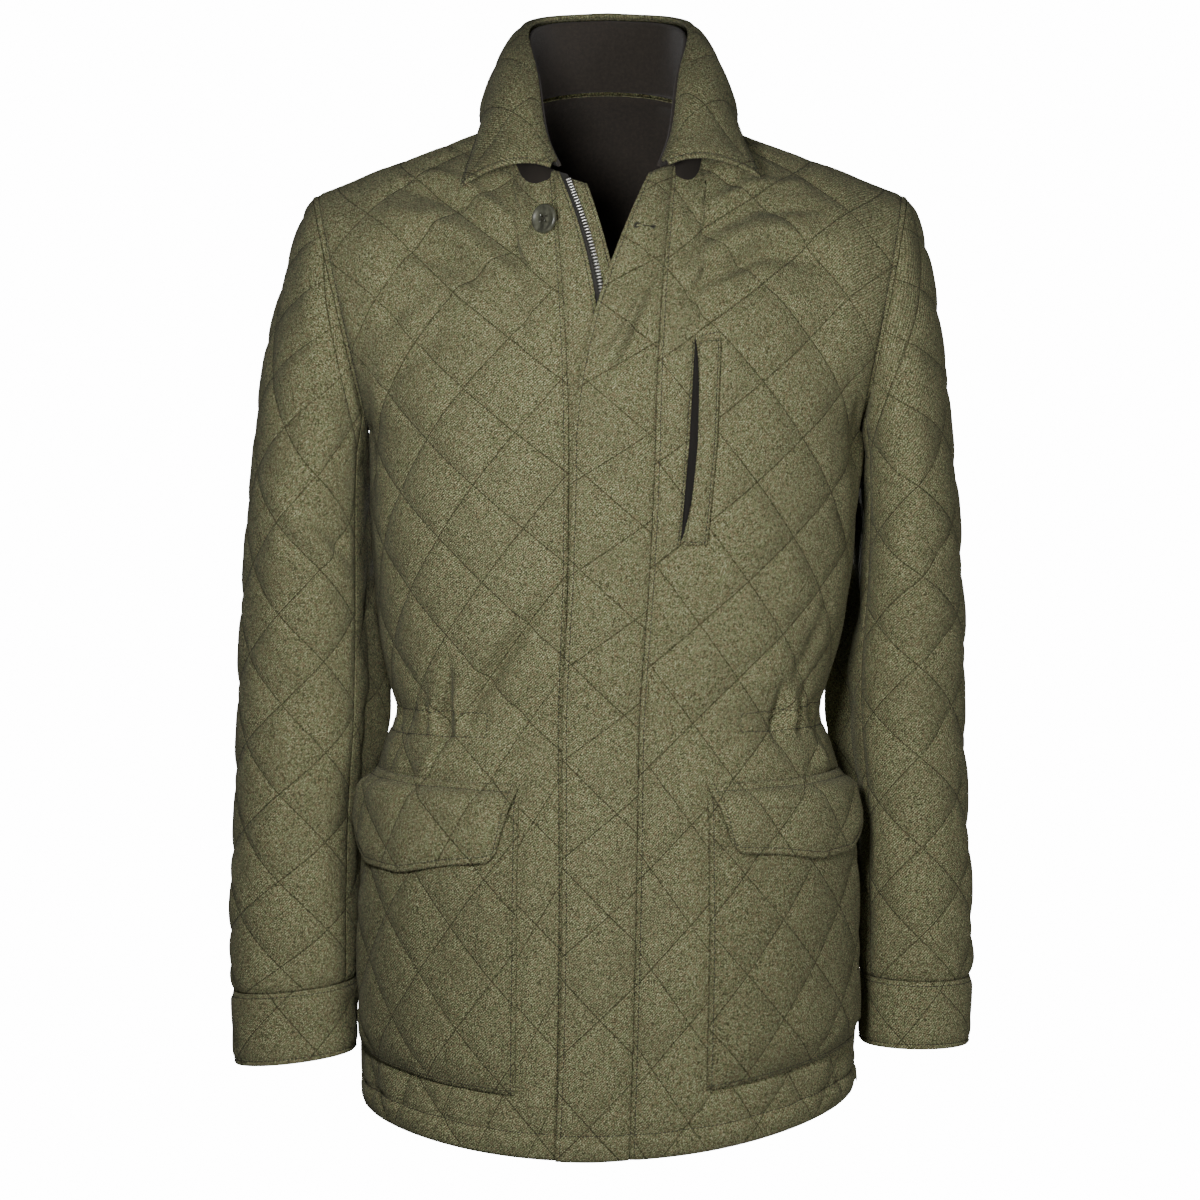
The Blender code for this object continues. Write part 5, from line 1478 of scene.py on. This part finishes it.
# ---------------------------------------------------------------- the room
def studio():
    pale = Finish("floor_paint", (0.86, 0.86, 0.855), 0.85, Emission_Strength=PAPER_WHITE)
    spots = pale.noise(30.0, 2.0)
    pale.surface("Base Color", pale.mix(spots, (0.85, 0.85, 0.845), (0.87, 0.87, 0.865)))
    pale.shader.inputs["Emission Color"].default_value = (1.0, 1.0, 1.0, 1)
    turns = np.linspace(0, 2 * math.pi, 96, endpoint=False)
    points = [(FLOOR_REACH * math.cos(t), FLOOR_REACH * math.sin(t), FLOOR_HEIGHT) for t in turns]
    floor = mesh_object("floor", points, [range(len(points))], [pale.material])
    floor.visible_diffuse = False
    floor.visible_glossy = False
    # The sky lights the coat weakly, and the camera sees plain paper in its place
    world = bpy.data.worlds.new("studio")
    world.use_nodes = True
    nodes, links = world.node_tree.nodes, world.node_tree.links
    sky = nodes["Background"]
    sky.inputs["Color"].default_value = (1.0, 1.0, 1.0, 1)
    sky.inputs["Strength"].default_value = 0.13
    paper = nodes.new("ShaderNodeBackground")
    paper.inputs["Color"].default_value = (1.0, 1.0, 1.0, 1)
    paper.inputs["Strength"].default_value = PAPER_WHITE
    rays, either = nodes.new("ShaderNodeLightPath"), nodes.new("ShaderNodeMixShader")
    links.new(rays.outputs["Is Camera Ray"], either.inputs[0])
    links.new(sky.outputs[0], either.inputs[1])
    links.new(paper.outputs[0], either.inputs[2])
    links.new(either.outputs[0], nodes["World Output"].inputs["Surface"])
    bpy.context.scene.world = world
    lamps = (
        ("key", (-0.20, -1.20, -0.02), (0.0, 0.0, -0.27), 0.26, 12.8, 180),
        ("fill", (1.9, -3.2, -0.6), (0.0, 0.0, -0.40), 1.2, 47.5, 180),
        ("rear", (0.0, 3.4, -0.3), (0.0, 0.0, -0.40), 1.2, 30.0, 90),
    )
    for name, place, target, size, power, spread in lamps:
        light = bpy.data.lights.new(name, "AREA")
        light.size, light.energy, light.spread = size, power, math.radians(spread)
        lamp = bpy.data.objects.new(name, light)
        lamp.location = place
        lamp.rotation_euler = (Vector(target) - Vector(place)).to_track_quat("-Z", "Y").to_euler()
        lamp.visible_camera = False
        bpy.context.scene.collection.objects.link(lamp)
    centre, distance, pitch, view_width = Vector((-0.006, 0, -0.346)), 4.5, math.radians(5), 0.924
    lens = bpy.data.cameras.new("camera")
    lens.sensor_width, lens.lens = 36.0, 36.0 * distance / view_width
    camera = bpy.data.objects.new("camera", lens)
    camera.location = centre + Vector((0, -math.cos(pitch), math.sin(pitch))) * distance
    camera.rotation_euler = (math.pi / 2 - pitch, 0, 0)
    bpy.context.scene.collection.objects.link(camera)
    bpy.context.scene.camera = camera


# ---------------------------------------------------------------- sewing it together
# The two rows of the waist's casing: its columns, and each row's height at both of them
WAIST = {
    "front_left": ((13.9, 4.9), (15.75, 16.0), (16.85, 16.75)),
    "front_right": ((0.1, 10.2), (15.5, 15.8), (16.55, 16.8)),
    "back": ((0.1, 31.9), (15.5, 15.5), (16.6, 16.6)),
}
# Rows of stitching along edges: by panel, each edge and how far the row lies from it
EDGE_ROWS = {
    "front": (("bottom", HEM_BAND),),
    "flap": (("bottom", 0.005), ("left", 0.005), ("right", 0.005), ("top", 0.0065)),
    "pocket": (("left", 0.0032), ("right", 0.0032), ("bottom", 0.0032)),
    "cuff": (("top", EDGE_STITCH), ("bottom", 0.004)),
    "back": (("bottom", HEM_BAND), ("top", EDGE_STITCH)),
    "placket": (("left", EDGE_STITCH), ("bottom", HEM_BAND)),
    "underlap": (("right", 0.003),),
    "zip_guard": (("right", 0.003), ("top", 0.003)),
    "collar_leaf": (("bottom", 0.004),),
    "chest_welt": (("right", 0.002), ("top", 0.002), ("bottom", 0.002)),
}
WELT_LIP = ((23.75, 1.12), (27.5, 1.28), (31.05, 1.52), (31.15, 2.75))


def stitched_rows(panels):
    """Every row of stitching that shows, by panel, as rows and columns of the pattern."""
    rows = {name: [] for name in panels}
    for name, panel in panels.items():
        for start, edges in EDGE_ROWS.items():
            if name.startswith(start):
                rows[name] += [inset_path(panel, *edge) for edge in edges]
    yoke = BODY_ROWS, BODY_ROWS + YOKE_ROWS
    for name, sides in (("front_left", "right"), ("front_right", "left"), ("back", "left right")):
        rows[name] += [
            inset_path(panels[name], side, ARMHOLE_STITCH, *yoke) for side in sides.split()
        ]
    for side in ("left", "right"):
        rows[f"front_{side}"].append(inset_path(panels[f"front_{side}"], side, EDGE_STITCH))
        rows["collar_leaf"].append(inset_path(panels["collar_leaf"], side, 0.004, 0.0, 4.6))
    for name, ((start, stop), low, high) in WAIST.items():
        rows[name] += [path((j0, start), (j1, stop)) for j0, j1 in (low, high)]
        if name != "back":
            rows[name].append(path((low[1], stop), (high[1], stop)))
    rows["front_left"].append(path(*WELT_LIP))
    return rows


def cut_size(panel):
    """The cut's width, length and area, before it was sewn."""
    width = float(np.ptp(panel.across, axis=1).max())
    length = float(np.ptp(panel.up, axis=0).max())
    grid = panel.grid
    one = np.cross(grid[:-1, 1:] - grid[:-1, :-1], grid[1:, :-1] - grid[:-1, :-1])
    two = np.cross(grid[1:, 1:] - grid[1:, :-1], grid[1:, 1:] - grid[:-1, 1:])
    area = float((np.linalg.norm(one, axis=2) + np.linalg.norm(two, axis=2)).sum() / 2)
    width, length = round(width, 3), round(length, 3)
    return (width, length), min(area, width * length)


def make_coat():
    fronts = [front_cloth("left"), front_cloth("right")]
    back = back_cloth()
    sleeves = [*sleeve_cloth("left"), *sleeve_cloth("right")]
    placket, underlap, tape, guard = strips()
    share_seam_normals([*fronts, back, placket, underlap])
    share_seam_normals([s for s in sleeves if not s.closed])
    low, high = BODY_ROWS * FINE, (BODY_ROWS + YOKE_ROWS) * FINE
    climb = range(low, high + 1)
    edges = (fronts[0], -1, 1), (fronts[1], 0, -1), (back, 0, 1), (back, -1, -1)
    for panel, column, side in edges:
        set_armhole(panel, [(j, column) for j in climb], side, -1)
    for sleeve in sleeves:
        if not sleeve.closed:
            spots = [(-1, i) for i in range(sleeve.grid.shape[1])]
            set_armhole(sleeve, spots, 1 if "left" in sleeve.name else -1, 1)
    for panel in [*fronts, back, *sleeves]:
        panel.fold()
    pockets = [
        maker(side, front)
        for side, front in zip(("left", "right"), fronts)
        for maker in (pocket_cloth, flap_cloth)
    ]
    welt = welt_cloth(fronts[0])
    open_mouth(fronts[0])
    stand, leaf = collar_cloth()
    leaf.number_lines("collar", shift=-leaf.across[:, -1:] / 2)
    leaf.pad(height=PADDING * 0.5)

    placket.fold()
    share = np.linspace(1, 0, placket.grid.shape[1])[None, :]
    placket.lift = placket.lift + (WALL + PLACKET_CLEARANCE) * smooth_step(share * 1.8)
    for panel in fronts:
        placket_edge, side_edge = ("left", "right") if "left" in panel.name else ("right", "left")
        panel.pinch(f"{placket_edge} top")
        panel.pinch(side_edge, SIDE_DIP)
        panel.band("bottom", HEM_BAND, HEM_BULGE)
        panel.roll("bottom")
    back.pinch("left right top", BACK_DIP)
    back.band("bottom", HEM_BAND, HEM_BULGE)
    back.roll("bottom")
    for sleeve in sleeves:
        if sleeve.closed:
            sleeve.pinch("top")
            sleeve.roll("bottom")
        else:
            sleeve.pinch("bottom")
            sleeve.pinch("left right", SLEEVE_DIP)
        if "upper" in sleeve.name:
            sleeve.pinch("top", SEAM_DIP * 0.6)
    placket.pinch("right top")
    placket.band("bottom", HEM_BAND, 0.0014)
    placket.roll("left bottom")
    underlap.pinch("left top")
    underlap.roll("right bottom")
    guard.roll("right top bottom")
    leaf.roll("left right bottom")
    for patch in pockets:
        patch.roll("left right bottom" if "pocket" in patch.name else "left right bottom top")
    welt.roll("left right top bottom", 0.0010)
    for panel in [*fronts, back, *sleeves]:
        pull_back(panel, "bottom top" if panel.closed else "left right bottom top")
    for panel in (placket, underlap):
        pull_back(panel, "left right top")
    panels = [*fronts, back, *sleeves, placket, underlap, tape, guard, stand, leaf, *pockets, welt]
    return {panel.name: panel for panel in panels}


def main():
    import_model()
    studio()
    finishes = {
        "wool": wool_finish("wool"),
        # The same wool made darker, painted shade for the collar's leaf and the pockets
        "shade": wool_finish("wool_shade", 0.88),
        "brown": woven_finish("brown", (0.016, 0.012, 0.008), (0.040, 0.030, 0.021), 0.0007, 0.8),
        "tape": woven_finish("tape", (0.014, 0.013, 0.010), (0.034, 0.032, 0.026), 0.0010, 0.8),
        "thread": thread_finish(),
        "metal": metal_finish(),
        "horn": horn_finish(),
        # The stand pieces' finish: darker than the stand's brown, with painted shade in it
        "stand": plain_finish("stand", (0.012, 0.009, 0.006), 0.9, grain=0.6),
        # A near-black finish for the sheets that are painted shadow in the slits
        "shadow": plain_finish("slit", (0.008, 0.007, 0.005), 0.95, grain=0.4),
    }
    panels = make_coat()
    (foot_in, foot_out), (head_in, head_out) = WELT["bottom_columns"], WELT["top_columns"]
    foot, head = WELT["bottom"], WELT["top"]
    round_welt = path((foot, foot_in), (foot, foot_out), (head, head_out), (head, head_in))
    panels["front_left"].press(round_welt, depth=0.0022, width=0.0013)
    rows = stitched_rows(panels)
    for name, paths in rows.items():
        for line in paths:
            panels[name].press(line)
    for name, panel in panels.items():
        plain = {"collar_stand": "brown", "zip_tape": "tape"}.get(name)
        # The collar's leaf and the pockets take the darker copy of the wool: painted shade
        outer = plain or ("shade" if name.startswith(("collar_leaf", "pocket")) else "wool")
        lined = name.startswith(("front", "back", "sleeve", "cuff"))
        slots = [finishes[outer], finishes["brown"]] if lined else [finishes[outer]]
        step = FINE if name.startswith(("sleeve", "cuff")) else 4 if name == "back" else 2
        piece = cloth_mesh(panel, slots, step)
        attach(piece, "root")
        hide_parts(name)
        flat, area = cut_size(panel)
    extras = []
    for name, paths in rows.items():
        sewing = Heap()
        for line in paths:
            sewing.add(*stitch_row(*panels[name].surface(line[:, 0], line[:, 1])))
        if paths:
            extras.append((sewing.object(f"{name}_stitches", [finishes["thread"]]), "wool", None))
    button, sewn = button_object(panels["front_right"], finishes)
    worked, slit = buttonhole(panels["placket_left"], finishes)
    extras += [
        (button, "horn", "button"),
        (sewn, "wool", None),
        (worked, "wool", None),
        # The buttonhole's slit and the chest pocket's inside are dark sheets of painted shadow
        (slit, "wool", None),
        (pocket_mouth_painted_shadow(panels["front_left"], finishes), "wool", None),
        # The two stand pieces: the stand's brown, darkened with painted shade
        (stand_and_painted_shade(panels["front_left"], finishes), "brown", None),
        (stand_and_painted_shade(panels["front_right"], finishes), "brown", None),
        (zip_teeth(panels["zip_tape"], finishes), "tape", None),
    ]
    for piece, slot, node in extras:
        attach(piece, "root")
        if node:
            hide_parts(node)


main()
